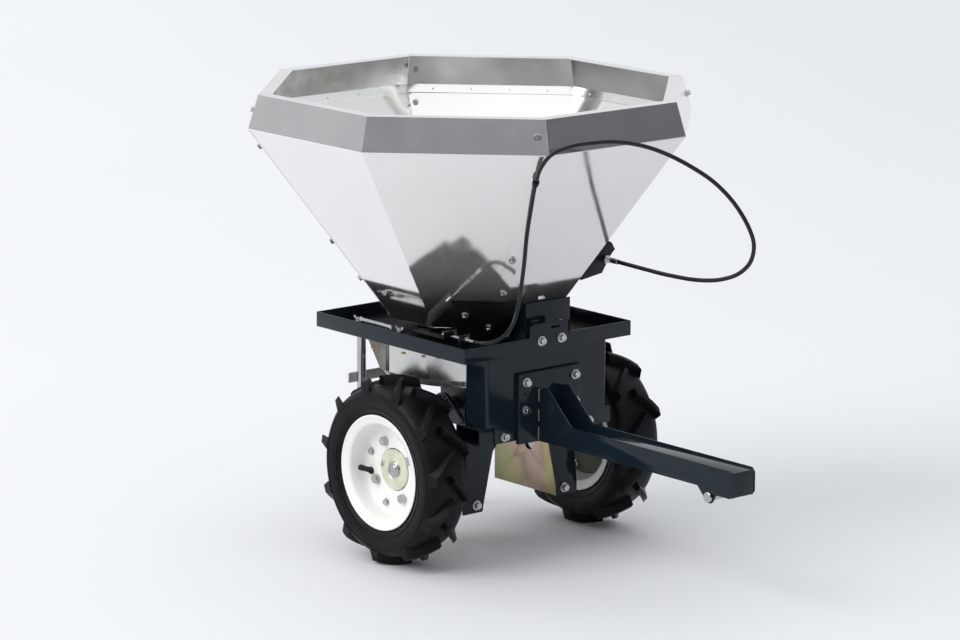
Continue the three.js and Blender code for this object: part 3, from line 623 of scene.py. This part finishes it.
def make_hopper():
    run = SHEET * math.hypot(1, FUNNEL_SLOPE)
    top = BAND_LOW_Z - 0.2 * MM
    wall = [(funnel(FUNNEL_LOW_Z), FUNNEL_LOW_Z), (funnel(top), top), (funnel(top) - run, top),
            (funnel(FUNNEL_LOW_Z) - run, FUNNEL_LOW_Z)]
    for side, facing in SIDES.items():
        sheet = bevelled(folded(wall, facing), 0.5 * MM)
        piece(f"funnel_{side}", sheet, STAINLESS, replaces=(f"hopper_sheet_{side}",))

    flange_low = BAND_LOW_Z - 15 * MM
    inner = run + 0.4 * MM
    rim = [(BAND_LOW_A, BAND_LOW_Z), (BAND_TOP_A, BAND_TOP_Z), (BAND_TOP_A - LIP, BAND_TOP_Z),
           (BAND_TOP_A - LIP, BAND_TOP_Z - 1.5 * MM), (BAND_TOP_A - 1.8 * MM, BAND_TOP_Z - 1.5 * MM),
           (BAND_LOW_A - 1.9 * MM - inner, BAND_LOW_Z + 1.2 * MM),
           (funnel(flange_low) - inner - 1.6 * MM, flange_low), (funnel(flange_low) - inner, flange_low),
           (BAND_LOW_A - inner, BAND_LOW_Z)]
    for side, facing in SIDES.items():
        sheet = bevelled(folded(rim, facing, 0.05), 0.9 * MM, 3)
        replaced = ("hopper_band",) if side == "front" else ()
        obj = piece(f"band_{side}", sheet, BAND_STEEL, replaces=replaced)
        # Painted shade on the band's inward faces.
        repaint(obj, BAND_INSIDE_SHADE, faces_inward)
    # A thin near-white rod along the band's lower edge: a painted highlight of the fold.
    hem = [(BAND_LOW_A + HEM_RADIUS * (math.cos(t) - 1.05), BAND_LOW_Z + HEM_RADIUS * (math.sin(t) - 0.75))
           for t in (math.radians(30 * k) for k in range(12))]
    piece("band_fold_highlight", merged([folded(hem, facing, 0) for facing in SIDES.values()]), FOLD_HIGHLIGHT)

    laps, seam_bolts = [], []
    lap_width, lap_thickness = 25 * MM, 1.5 * MM
    band_middle_z = (BAND_LOW_Z + BAND_TOP_Z) / 2
    for side, facing in SIDES.items():
        seam = facing - HALF_SIDE
        normal = seam - HALF_SIDE
        strip = lap(seam, normal, lap_width, FUNNEL_LOW_Z + 2 * MM, top - 1 * MM, lap_thickness)
        laps.append(bevelled(strip, 0.4 * MM))
        for z in SEAM_BOLT_Z:
            if side == "front" and z == CLIP_BOLT_Z:
                continue
            at = corner(seam, funnel(z), z, normal, -lap_width / 2, lap_thickness)
            seam_bolts.append((at, away(normal, -FUNNEL_SLOPE)))
        band_at = on_side(band(band_middle_z), band_middle_z, seam, normal)
        seam_bolts.append((band_at - sideways(normal) * 18 * MM, away(normal, BAND_BOLT_RISE)))
    piece("funnel_laps", merged(laps), STAINLESS)
    bolts("hopper_seam_bolts", seam_bolts, 10 * MM)
    nuts = [bolt(at - out * 5 * MM, -out, 8 * MM, proud=4 * MM) for at, out in seam_bolts]
    piece("hopper_seam_nuts", merged(nuts), ZINC)

    rivets = []
    rivet_z = BAND_LOW_Z - 8 * MM
    head = metres([(0, 1.2), (1.6, 0.9), (2.6, 0), (0, -0.3)])
    for normal in range(0, 360, 45):
        for angle in RIVET_ANGLES:
            at = on_side(funnel(rivet_z) - inner - 1.6 * MM, rivet_z, normal + angle, normal)
            rivets.append(lathe(head, at, -away(normal, -FUNNEL_SLOPE), 16, closed=False))
    piece("band_rivets", merged(rivets), STAINLESS)
    refined("hopper_floor", STAINLESS)


# ---- wheels ---------------------------------------------------------------------------------
# Outlines in millimetres; the turned ones are (radius, distance along their axis).
CARCASS = [(101.6, 36.6), (106, 38), (113, 40.4), (118.4, 42.4), (120.5, 44.6), (123, 45.2), (124.5, 46.8),
           (129, 48.4), (138, 50.4), (148, 51.4), (157, 50.6), (164, 47.6), (169, 42.5), (172, 34),
           (173.6, 20), (174, 0)]
CAVITY = [(101.6, -30), (120, -38), (148, -44.5), (164, -38), (168, -20), (168, 20), (164, 38),
          (148, 44.5), (120, 38), (101.6, 30)]
RIM_FACE = 3.1
RIM_HALF = [(43.5, 0.1), (92, 0.1), (98, 4), (100.9, 9), (100.9, 37.5), (104, 38.6), (112, 41.2),
            (116, 42.6), (117.5, 44.4), (117.5, 45.8), (116.2, 46.8), (114.2, 46.8), (112.6, 45.6),
            (110.5, 44.2), (104, 42), (98.8, 39.6), (97.2, 36.5), (96.4, 18), (95, 11), (91.5, 5.6),
            (86, 3.4), (78, RIM_FACE), (46, RIM_FACE), (44.2, 2.6), (43.5, 1.8)]
VALVE = [(0, -1), (8, -1), (8, 1.5), (6.6, 3.5), (6.1, 6), (5.5, 18), (5.5, 20), (6.1, 20.8), (6.1, 31.4),
         (5.2, 32.6), (0, 32.9)]
HUB = [(10.4, -98), (19, -98), (20, -97), (20, -20), (24, -13), (30, -10.4), (87, -10.4), (88, -9.6),
       (88, -4.2), (87.2, -3.5), (42.2, -3.5), (42.2, -1.6), (10.4, -1.6)]
HUB_FACE = [(10.4, -1.5), (42.3, -1.5), (42.3, 3.4), (41.4, 4.4), (21, 4.4), (20.4, 3.8), (19.6, 3.8),
            (19.6, 4.2), (10.4, 4.2)]
AXLE_END = [(0, 8.6), (3.2, 8.6), (3.6, 8.0), (4.0, 8.6), (8.6, 8.6), (10.0, 7.4), (10.0, 4.3), (15.5, 4.3),
            (16.4, 5.2), (16.4, 6.8), (15.4, 7.6), (11.6, 7.6), (11.2, 6.8), (10.1, 6.8), (10.1, 2), (0, 2)]
AXLE_KEY = [(-3, 8.2), (3, 8.2), (3, 13.6), (-3, 13.6)]
SIDE_RIBS = ((132, 49.4), (156, 50.9))
LUGS_PER_SIDE = 11
LUG_REACH = 15.5
LUG_STATIONS = 7


def carcass_radius(y):
    """The carcass's outer radius at a distance from the wheel's middle plane, millimetres."""
    shoulder = [(r, s) for r, s in CARCASS if r > 150]
    for (r0, s0), (r1, s1) in zip(shoulder, shoulder[1:]):
        if s1 <= y <= s0:
            return r0 + (r1 - r0) * (s0 - y) / (s0 - s1)
    return shoulder[0][0]


def lug(side, start):
    """One bar lug from the tread's middle to its shoulder, swept back by LUG_REACH degrees."""
    bm = bmesh.new()
    rings = []
    for k in range(LUG_STATIONS):
        t = k / (LUG_STATIONS - 1)
        y = -5 + 50 * t
        angle = math.radians(start - LUG_REACH * t ** 1.15)
        half = 6.4 + 2.6 * t
        top = TYRE_R / MM - 0.3 - 5.5 * (max(y, 0) / 45) ** 3
        base = carcass_radius(abs(y)) - 4
        foot_y = y + 4.5 * t ** 3
        section = ((base, half + 4.0, foot_y), (top - 2, half, y), (top, half - 1.4, y),
                   (top, 1.4 - half, y), (top - 2, -half, y), (base, -half - 4.0, foot_y))
        ring = []
        for radius, width, across in section:
            turn = angle + width / radius
            point = (radius * math.cos(turn) * MM, side * across * MM, radius * math.sin(turn) * MM)
            ring.append(bm.verts.new(point))
        rings.append(ring)
    return bevelled(skin(bm, rings), 0.9 * MM, 2, 30)


def make_tyre(name, body, at):
    outer = metres(CARCASS)
    other = [(r, -s) for r, s in reversed(outer[:-1])]
    parts = [lathe(outer + other + metres(CAVITY), at, (0, 1, 0), segments=112)]
    step = 360 / LUGS_PER_SIDE
    for k in range(LUGS_PER_SIDE):
        for side, offset in ((1, 0), (-1, step / 2)):
            parts.append(moved(lug(side, k * step + offset + 4), Matrix.Translation(at)))
    for side in (-1, 1):
        for radius, reach in SIDE_RIBS:
            ring = [((radius + 1.1 * math.cos(a)) * MM, side * (reach + 0.9 * math.sin(a)) * MM)
                    for a in (2 * math.pi * i / 8 for i in range(8))]
            parts.append(lathe(ring, at, (0, 1, 0), segments=112))
    piece(f"{name}_lugged", merged(parts), RUBBER, body, (name,), sharp=40)


def make_rim(name, body, at, outward):
    halves = [lathe(metres(RIM_HALF, sign), at, (0, 1, 0), segments=120) for sign in (1, -1)]
    piece(f"{name}_split", merged(halves), WHITE_PAINT, body, (name,), sharp=50)
    face = outward * RIM_FACE * MM

    def on_face(radius, degrees):
        a = math.radians(degrees)
        return at + Vector((radius * MM * math.cos(a), face, radius * MM * math.sin(a)))

    out, back = (0, outward, 0), (0, -outward, 0)
    through = Vector((0, face + outward * 10.4 * MM, 0))
    hub_places = [on_face(61.5, 28 + 90 * k) for k in range(4)]
    half_places = [on_face(76, 71 + 90 * k) for k in range(4)]
    bolts(f"{name}_hub_bolts", [(place, out) for place in hub_places], 17 * MM, body, washer=False)
    bolts(f"{name}_half_bolts", [(place, out) for place in half_places], 10 * MM, body)
    bolts(f"{name}_half_nuts", [(place - through, back) for place in half_places], 10 * MM, body)
    lean = Vector((0, outward, 0.37)).normalized()
    valve = lathe(metres(VALVE), on_face(75, 192), lean, 28, closed=False)
    piece(f"{name}_valve", valve, CABLE_BLACK, body)


def make_hub(name, body, at, outward):
    hub = lathe(metres(HUB, outward), at, (0, 1, 0), segments=72)
    piece(f"{name}_flange", hub, OLIVE_ZINC, body, (name,))
    face = lathe(metres(HUB_FACE, outward), at, (0, 1, 0), segments=72)
    piece(f"{name}_face", face, HUB_ZINC, body)
    end = lathe(metres(AXLE_END), at, (0, outward, 0), 48, closed=False)
    key = prism(rounded(AXLE_KEY, 0.8, 3), 3.5, 6.2)
    key = moved(key, Matrix.Translation(at) @ axes_for((0, outward, 0)) @ Matrix.Scale(MM, 4))
    piece(f"{name}_axle_end", merged([end, key]), ZINC, body)


def make_wheels():
    for side, outward in (("right", -1), ("left", 1)):
        body = f"{side}_wheel"
        at = Vector((AXLE_X, outward * WHEEL_Y, AXLE_Z))
        make_tyre(f"tyre_{side}", body, at)
        make_rim(f"rim_{side}", body, at, outward)
        make_hub(f"hub_{side}", body, at, outward)


# ---- frame and tow bar --------------------------------------------------------------------------
def make_front_frame():
    low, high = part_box("front_frame")
    flange_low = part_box("cross_member")[1][2] + 0.3 * MM
    plate, tab_half = 3 * MM, 138 * MM
    x0, x1, y1 = low[0], high[0], high[1]
    outer = rounded([(x0, -y1), (x1, -y1), (x1, y1), (x0, y1)], 7 * MM, 5, closed=False)
    inner = rounded([(x0, y1 - plate), (x1 - plate, y1 - plate), (x1 - plate, plate - y1), (x0, plate - y1)],
                    4 * MM, 5, closed=False)
    channel = bevelled(prism(outer + inner, flange_low, high[2]), 0.6 * MM)
    tab_top = flange_low + 2 * MM
    tab = prism([(-tab_half, low[2]), (tab_half, low[2]), (tab_half, tab_top), (-tab_half, tab_top)],
                x1 - plate, x1 - 0.01 * MM, "yz")
    piece("front_frame_folded", merged([channel, bevelled(tab, 0.6 * MM)]), NAVY,
          replaces=("front_frame",))


def weld_bead(start, end, radius, ripples):
    """A stitch weld: overlapping flattened ripples along a short line."""
    start, end = Vector(start), Vector(end)
    flattened = axes_for((end - start).normalized()) @ Matrix.Diagonal((1, 1, 0.62, 1))
    parts = []
    for k in range(ripples):
        blob = bmesh.new()
        bmesh.ops.create_icosphere(blob, subdivisions=2, radius=radius)
        parts.append(moved(blob, Matrix.Translation(start.lerp(end, (k + 0.5) / ripples)) @ flattened))
    return merged(parts)


def hole_shade(radius, at):
    """A dark disc over a face that looks ahead, where a small hole is: painted shade standing in for the
    hole.
    """
    profile = metres([(0, 0.1), (radius, 0.1), (radius, -2), (0, -2)])
    return lathe(profile, at, (1, 0, 0), 20, closed=False)


# Places on the hitch plate's face, (y, z) in millimetres, and its welds' lower and upper ends.
HITCH_BOLTS = ((-64, 373), (-64, 317), (66, 372.5), (66, 317))
HITCH_HOLES = ((-68, 351), (70, 351), (-68, 292), (70, 292))
STITCH_SPANS = ((330, 356), (290, 315), (252, 278))
BAR_WELD_X = (0.45, 0.53, 0.60)
# Tab slots on the tow bar's sides: middle x from the axle, middle z, half length, half height.
TAB_SLOTS = ((677, 285, 2, 3.2), (692, 286.5, 13, 0.5), (709, 281, 2, 2.6), (727.6, 276, 2.2, 3),
             (729.6, 265, 0.4, 13), (727.6, 255, 2, 1.2))
PIN = [(0, -36), (9.4, -36), (10.5, -35.2), (10.5, -31), (9.8, -30.3), (8, -30.3), (8, 39), (7, 40), (0, 40)]
PIN_RING = [(8.05, 31), (13, 31), (13, 33.4), (8.05, 33.4)]


def make_tow_bar():
    for side in ("right", "left"):
        refined(f"drawbar_side_{side}", NAVY, width=0.7 * MM)
    refined("drawbar_top_plate", NAVY, width=0.6 * MM)
    refined("hitch_plate", NAVY, width=1.2 * MM)
    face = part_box("hitch_plate")[1][0]
    bolts("hitch_bolts", [(Vector((face, y * MM, z * MM)), (1, 0, 0)) for y, z in HITCH_BOLTS], 13 * MM)
    # Painted shade: dark discs where the plate's holes are.
    holes = [hole_shade(3.4, (face + 0.05 * MM, y * MM, z * MM)) for y, z in HITCH_HOLES]
    piece("hitch_plate_holes", merged(holes), BLACK_PAINT_AND_HOLE_SHADE)
    welds = []
    weld_x = face + 1.0 * MM
    for sign in (-1, 1):
        y = sign * 31.2 * MM
        for z0, z1 in STITCH_SPANS:
            welds.append(weld_bead((weld_x, y, z0 * MM), (weld_x, y, z1 * MM), 3.2 * MM, 9))
    piece("stitch_welds", merged(welds), DARK_STEEL_AND_SHADE)
    welds = []
    top_low, top_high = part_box("drawbar_top_plate")
    for sign in (-1, 1):
        y = sign * 26.5 * MM
        for x in BAR_WELD_X:
            welds.append(weld_bead((x, y, top_high[2]), (x + 14 * MM, y, top_high[2]), 2.0 * MM, 6))
    piece("bar_welds", merged(welds), NAVY)
    # A painted shade disc at the top plate's end hole, with dark slots where the tabs pass through.
    tabs = [hole_shade(3.2, (top_high[0], 0, 262 * MM))]
    for sign in (-1, 1):
        for x, z, dx, dz in TAB_SLOTS:
            outline = [(x - dx, z - dz), (x + dx, z - dz), (x + dx, z + dz), (x - dx, z + dz)]
            slot = prism([(at_axle(u, 0, 0).x, v * MM) for u, v in outline], 29.0 * MM, 30.12 * MM, "xz")
            tabs.append(moved(slot, Matrix.Diagonal((1, sign, 1, 1))))
    piece("drawbar_tabs", merged(tabs), BLACK_PAINT_AND_HOLE_SHADE)
    pin_middle = middle("hitch_pin")
    at = (pin_middle.x, 0, pin_middle.z)
    shank = lathe(metres(PIN), at, (0, 1, 0), 40, closed=False)
    ring = lathe(metres(PIN_RING), at, (0, 1, 0), 32)
    piece("hitch_pin_turned", merged([shank, ring]), ZINC, replaces=("hitch_pin",))


def make_frame():
    tray = refined("tray", NAVY, width=0.6 * MM)
    above_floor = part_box("tray")[0][2] + 10 * MM
    # Painted shade on the tray's floor under the hopper.
    repaint(tray, NAVY_FLOOR_SHADE, lambda centre, normal: normal.z > 0.9 and centre.z < above_floor)
    refined("cross_member", NAVY, width=0.8 * MM)
    refined("gearbox_arm", NAVY)
    refined("inner_bearing_plate", NAVY)
    for side in ("right", "left"):
        refined(f"leg_{side}", NAVY, width=0.6 * MM)
        refined(f"bearing_plate_{side}", GOLD_ZINC, width=0.6 * MM)
    refined("hopper_bracket_front", NAVY)
    refined("hopper_bracket_front_right", BLACK_PAINT_AND_HOLE_SHADE)
    refined("hopper_bracket_rear_left", BLACK_PAINT_AND_HOLE_SHADE)
    tray_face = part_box("tray")[1][0]
    leg_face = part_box("leg_left")[1][0]
    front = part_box("front_frame")[1][0]
    ahead = (1, 0, 0)
    bolts("tray_bolts", [(Vector((tray_face, y * MM, 452 * MM)), ahead) for y in (-21, 32)], 13 * MM)
    nut_x = tray_face - 2 * MM
    bolts("tray_nuts", [(Vector((nut_x, y * MM, 452 * MM)), (-1, 0, 0)) for y in (-21, 32)], 13 * MM,
          proud=6 * MM)
    bolts("frame_bolts", [(Vector((front, y * MM, 268 * MM)), ahead) for y in (-112, 112)], 13 * MM)
    bolts("leg_bolts", [(Vector((leg_face, y * MM, 111 * MM)), ahead) for y in (-118, 118)], 13 * MM)
    slope = Vector((1, -1, -FUNNEL_SLOPE * math.sqrt(2))).normalized()
    bracket_places = (at_axle(64, -131, 502) + slope * 1 * MM, at_axle(84, -85, 474))
    bolts("bracket_bolts", [(place, slope) for place in bracket_places], 13 * MM)
    bolts("bracket_side_bolt", [(at_axle(134, 60, 470), ahead)], 13 * MM)


GUARD_STEPS = 90
# Heat marks on the guard: plan angle from straight ahead, and half length in millimetres.
GUARD_MARKS = ((83, 5), (69, 4), (59, 8), (20, 6))


def make_guard():
    low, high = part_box("spinner_guard")
    radius = high[0] - HOPPER_X
    wall = 1.6 * MM
    end = math.degrees(math.acos(-23 * MM / radius))
    outline = []
    for r, sweep in ((radius, range(GUARD_STEPS + 1)), (radius - wall, range(GUARD_STEPS, -1, -1))):
        for k in sweep:
            a = math.radians(-end + 2 * end * k / GUARD_STEPS)
            outline.append((HOPPER_X + r * math.cos(a), r * math.sin(a)))
    parts = [bevelled(prism(outline, low[2], high[2]), 0.4 * MM, 2, 40)]
    y = radius * math.sin(math.radians(end))
    wing = rounded([(AXLE_X - 89 * MM, low[2]), (AXLE_X - 116 * MM, low[2]), (AXLE_X - 159 * MM, high[2]),
                    (AXLE_X - 89 * MM, high[2])], 2 * MM, 3)
    for sign in (-1, 1):
        parts.append(bevelled(prism(wing, sign * (y - wall), sign * y, "xz"), 0.4 * MM))
        for x in (-96.5, -91.5):
            fold = at_axle(x, sign * (y / MM + 0.6), low[2] / MM)
            parts.append(bar(1.9 * MM, fold, fold + Vector((0, 0, high[2] - low[2])), 14, 0.4 * MM))
    guard = piece("spinner_guard_rolled", merged(parts), STAINLESS_DULL,
                  replaces=("spinner_guard",))
    # The side wings get the dark finish: a painted reflection of the dark tyre beside them.
    wing_x = AXLE_X - 88 * MM
    repaint(guard, DARK_STEEL_AND_SHADE, lambda centre, normal: centre.x < wing_x and abs(centre.y) > y - 3 * MM)
    marks = []
    seam_z = high[2] / MM - 20
    for sign in (-1, 1):
        seam_y = sign * (y / MM - 0.4)
        marks.append(weld_bead(at_axle(-146, seam_y, seam_z), at_axle(-122, seam_y, seam_z), 2.4 * MM, 10))
        for angle, reach in GUARD_MARKS:
            a = math.radians(sign * angle)
            at = Vector((HOPPER_X + radius * math.cos(a), radius * math.sin(a), high[2] - 14 * MM))
            tangent = Vector((-math.sin(a), math.cos(a), 0)) * reach * MM
            marks.append(weld_bead(at - tangent, at + tangent, 2.2 * MM, 6))
    piece("guard_welds", merged(marks), HEAT_TINT)


POST_FOOT = [(0, 0.0), (19, 0.0), (20, 1.0), (20, 5.0), (19, 6.0), (11, 6.6), (9.5, 8.4)]


def make_stand():
    for side in ("right", "left"):
        node = f"stand_post_{side}"
        at = (middle(node).x, middle(node).y, 0)
        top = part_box(node)[1][2] / MM
        profile = metres(POST_FOOT + [(9.5, top - 0.6), (9.0, top), (0, top)])
        post = lathe(profile, at, (0, 0, 1), 40, closed=False)
        piece(f"{node}_turned", post, ZINC, replaces=(node,))
    refined("stand_crossbar", GALVANISED, width=0.6 * MM)


# ---- shutter, cable and drive -----------------------------------------------------------------------
# Places on the cable's centre line, in at_axle's millimetres.
CABLE_ROUTE = [
    (150.4, -180, 467.5), (168, -178.5, 468.5), (184, -166, 471), (193, -143, 480), (194, -118, 503),
    (193, -103, 540), (201, -102, 580), (220, -111, 632), (254, -135, 690), (297, -162, 755),
    (331, -180, 813), (364, -194, 851), (385, -188, 876), (399, -152, 890), (411, -110, 894),
    (424, -60, 893), (438, -5, 882), (452, 48, 862), (472, 97, 834), (494, 141, 800),
    (519, 171, 759), (541, 190, 712), (548, 198, 677), (542, 195, 643), (520, 186, 618),
    (484, 174, 602), (434, 162, 594), (352, 157, 591.5), (264, 159, 592.5), (196.8, 161, 594),
]
CABLE_R = 4.25 * MM


def smooth_path(points, per_span):
    """Points along a Catmull-Rom curve with centripetal knots, through every given point."""
    knots = [0.0]
    for a, b in zip(points, points[1:]):
        knots.append(knots[-1] + (b - a).length ** 0.5)
    full = [points[0] * 2 - points[1]] + points + [points[-1] * 2 - points[-2]]
    times = [2 * knots[0] - knots[1]] + knots + [2 * knots[-1] - knots[-2]]
    path = []
    for i in range(1, len(full) - 2):
        t = times[i - 1:i + 3]
        for k in range(per_span):
            s = t[1] + (t[2] - t[1]) * k / per_span
            level = full[i - 1:i + 3]
            for start, end in (((0, 1, 2), (1, 2, 3)), ((0, 1), (2, 3)), ((1,), (2,))):
                level = [first * ((t[n] - s) / (t[n] - t[m])) + second * ((s - t[m]) / (t[n] - t[m]))
                         for first, second, m, n in zip(level, level[1:], start, end)]
            path.append(level[0])
    path.append(points[-1])
    return path


def tube(path, radius, segments=14):
    """A round tube along a path of points."""
    bm = bmesh.new()
    side = Vector((0, 0, 1))
    rings = []
    for i, point in enumerate(path):
        along = (path[min(i + 1, len(path) - 1)] - path[max(i - 1, 0)]).normalized()
        side = (side - along * side.dot(along)).normalized()
        other = along.cross(side)
        rings.append([bm.verts.new(point + (side * math.cos(a) + other * math.sin(a)) * radius)
                      for a in (2 * math.pi * k / segments for k in range(segments))])
    return skin(bm, rings)


def nut_on_bar(at, flats, height, edge):
    """A plain hex nut on a bar that runs along X."""
    nut = bevelled(prism(hexagon(flats), 0, height), edge)
    return moved(nut, Matrix.Translation(at) @ axes_for((1, 0, 0)))


def make_cable():
    path = smooth_path([at_axle(*point) for point in CABLE_ROUTE], 8)
    cable = piece("control_cable_jacket", tube(path, CABLE_R), CABLE_BLACK,
                  replaces=("control_cable",))
    refined("cable_clip", BLACK_PAINT_AND_HOLE_SHADE)
    refined("cable_end_bracket", BLACK_PAINT_AND_HOLE_SHADE)
    refined("cable_anchor_bracket", NAVY)
    x0, x1 = (limit[0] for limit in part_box("cable_adjuster"))
    y, z = middle("cable_adjuster").y, middle("cable_adjuster").z
    parts = [thread((x0, y, z), (1, 0, 0), 4.1 * MM, x1 - x0 - 8 * MM),
             bar(4.2 * MM, (x1 - 12 * MM, y, z), (x1, y, z))]
    for distance in (121.4, 112.5):
        parts.append(nut_on_bar((at_axle(distance, 0, 0).x, y, z), 13 * MM, 5.1 * MM, 0.5 * MM))
    piece("cable_adjuster_threaded", merged(parts), ZINC, replaces=("cable_adjuster",))
    x0, x1 = (limit[0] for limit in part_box("cable_end_fitting"))
    y, z = middle("cable_end_fitting").y, middle("cable_end_fitting").z
    thread_end = x0 + 34 * MM
    end = [thread((x0, y, z), (1, 0, 0), 5.8 * MM, 34 * MM),
           bar(4.8 * MM, (thread_end, y, z), (x1 - 14 * MM, y, z)),
           bar(5.6 * MM, (x1 - 15 * MM, y, z), (x1, y, z))]
    bracket_x = at_axle(154, 0, 0).x
    for x in (bracket_x + 1.9 * MM, bracket_x - 8 * MM):
        end.append(nut_on_bar((x, y, z), 16 * MM, 6.1 * MM, 0.6 * MM))
    piece("cable_end_threaded", merged(end), ZINC, replaces=("cable_end_fitting",))


def make_shutter():
    refined("shutter_plate", STAINLESS, "shutter", width=0.5 * MM)
    refined("shutter_arm", BLACK_PAINT_AND_HOLE_SHADE, "shutter", width=0.5 * MM)
    x0, x1 = (limit[0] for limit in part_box("cable_inner_wire"))
    y, z = middle("cable_inner_wire").y, middle("cable_inner_wire").z
    wire = [bar(1.4 * MM, (x0 + 2 * MM, y, z), (x1, y, z), 16, 0.3 * MM),
            bar(4.4 * MM, (x0, y, z), (x0 + 13.6 * MM, y, z), 28)]
    piece("cable_inner_wire_drawn", merged(wire), ZINC, "shutter", ("cable_inner_wire",))
    for side in ("right", "left"):
        refined(f"shutter_guide_{side}", BLACK_PAINT_AND_HOLE_SHADE, width=0.5 * MM)
    refined("setting_plate", ZINC, width=0.5 * MM)
    refined("outlet_chute", STAINLESS_DULL, width=0.5 * MM)


def shaft(node, radius, body):
    """A smooth bar in place of a faceted CAD shaft that lies along Y."""
    low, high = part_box(node)
    start, end = middle(node), middle(node)
    start.y, end.y = low[1], high[1]
    piece(f"{node}_ground", bar(radius, start, end, 32), ZINC, body, (node,))


def make_drive():
    shaft("drive_axle", 10 * MM, "right_wheel")
    shaft("countershaft", 7 * MM, "countershaft_set")
    refined("stub_axle", ZINC)
    refined("spinner_shaft", ZINC, "spinner", width=0.4 * MM)
    refined("drive_sprocket", IRON, "right_wheel", width=0.3 * MM)
    refined("driven_sprocket", IRON, "countershaft_set", width=0.3 * MM)
    refined("drive_chain", IRON, width=0.5 * MM)
    refined("bevel_gear", IRON, "countershaft_set")
    refined("bevel_pinion", IRON, "spinner")
    refined("gearbox_housing", IRON, width=3 * MM, segments=3)
    for node in ("axle_bearing_outer", "axle_bearing_inner"):
        refined(node, IRON, width=1.2 * MM, segments=3)
    refined("spinner_disc", STAINLESS_DULL, "spinner", width=0.5 * MM)
    refined("agitator", ZINC, "spinner", width=0.6 * MM)


bpy.context.scene.view_settings.view_transform = "Standard"
make_camera()
make_world()
make_cable()
make_stage()
make_hopper()
make_wheels()
make_front_frame()
make_tow_bar()
make_frame()
make_guard()
make_stand()
make_shutter()
make_drive()
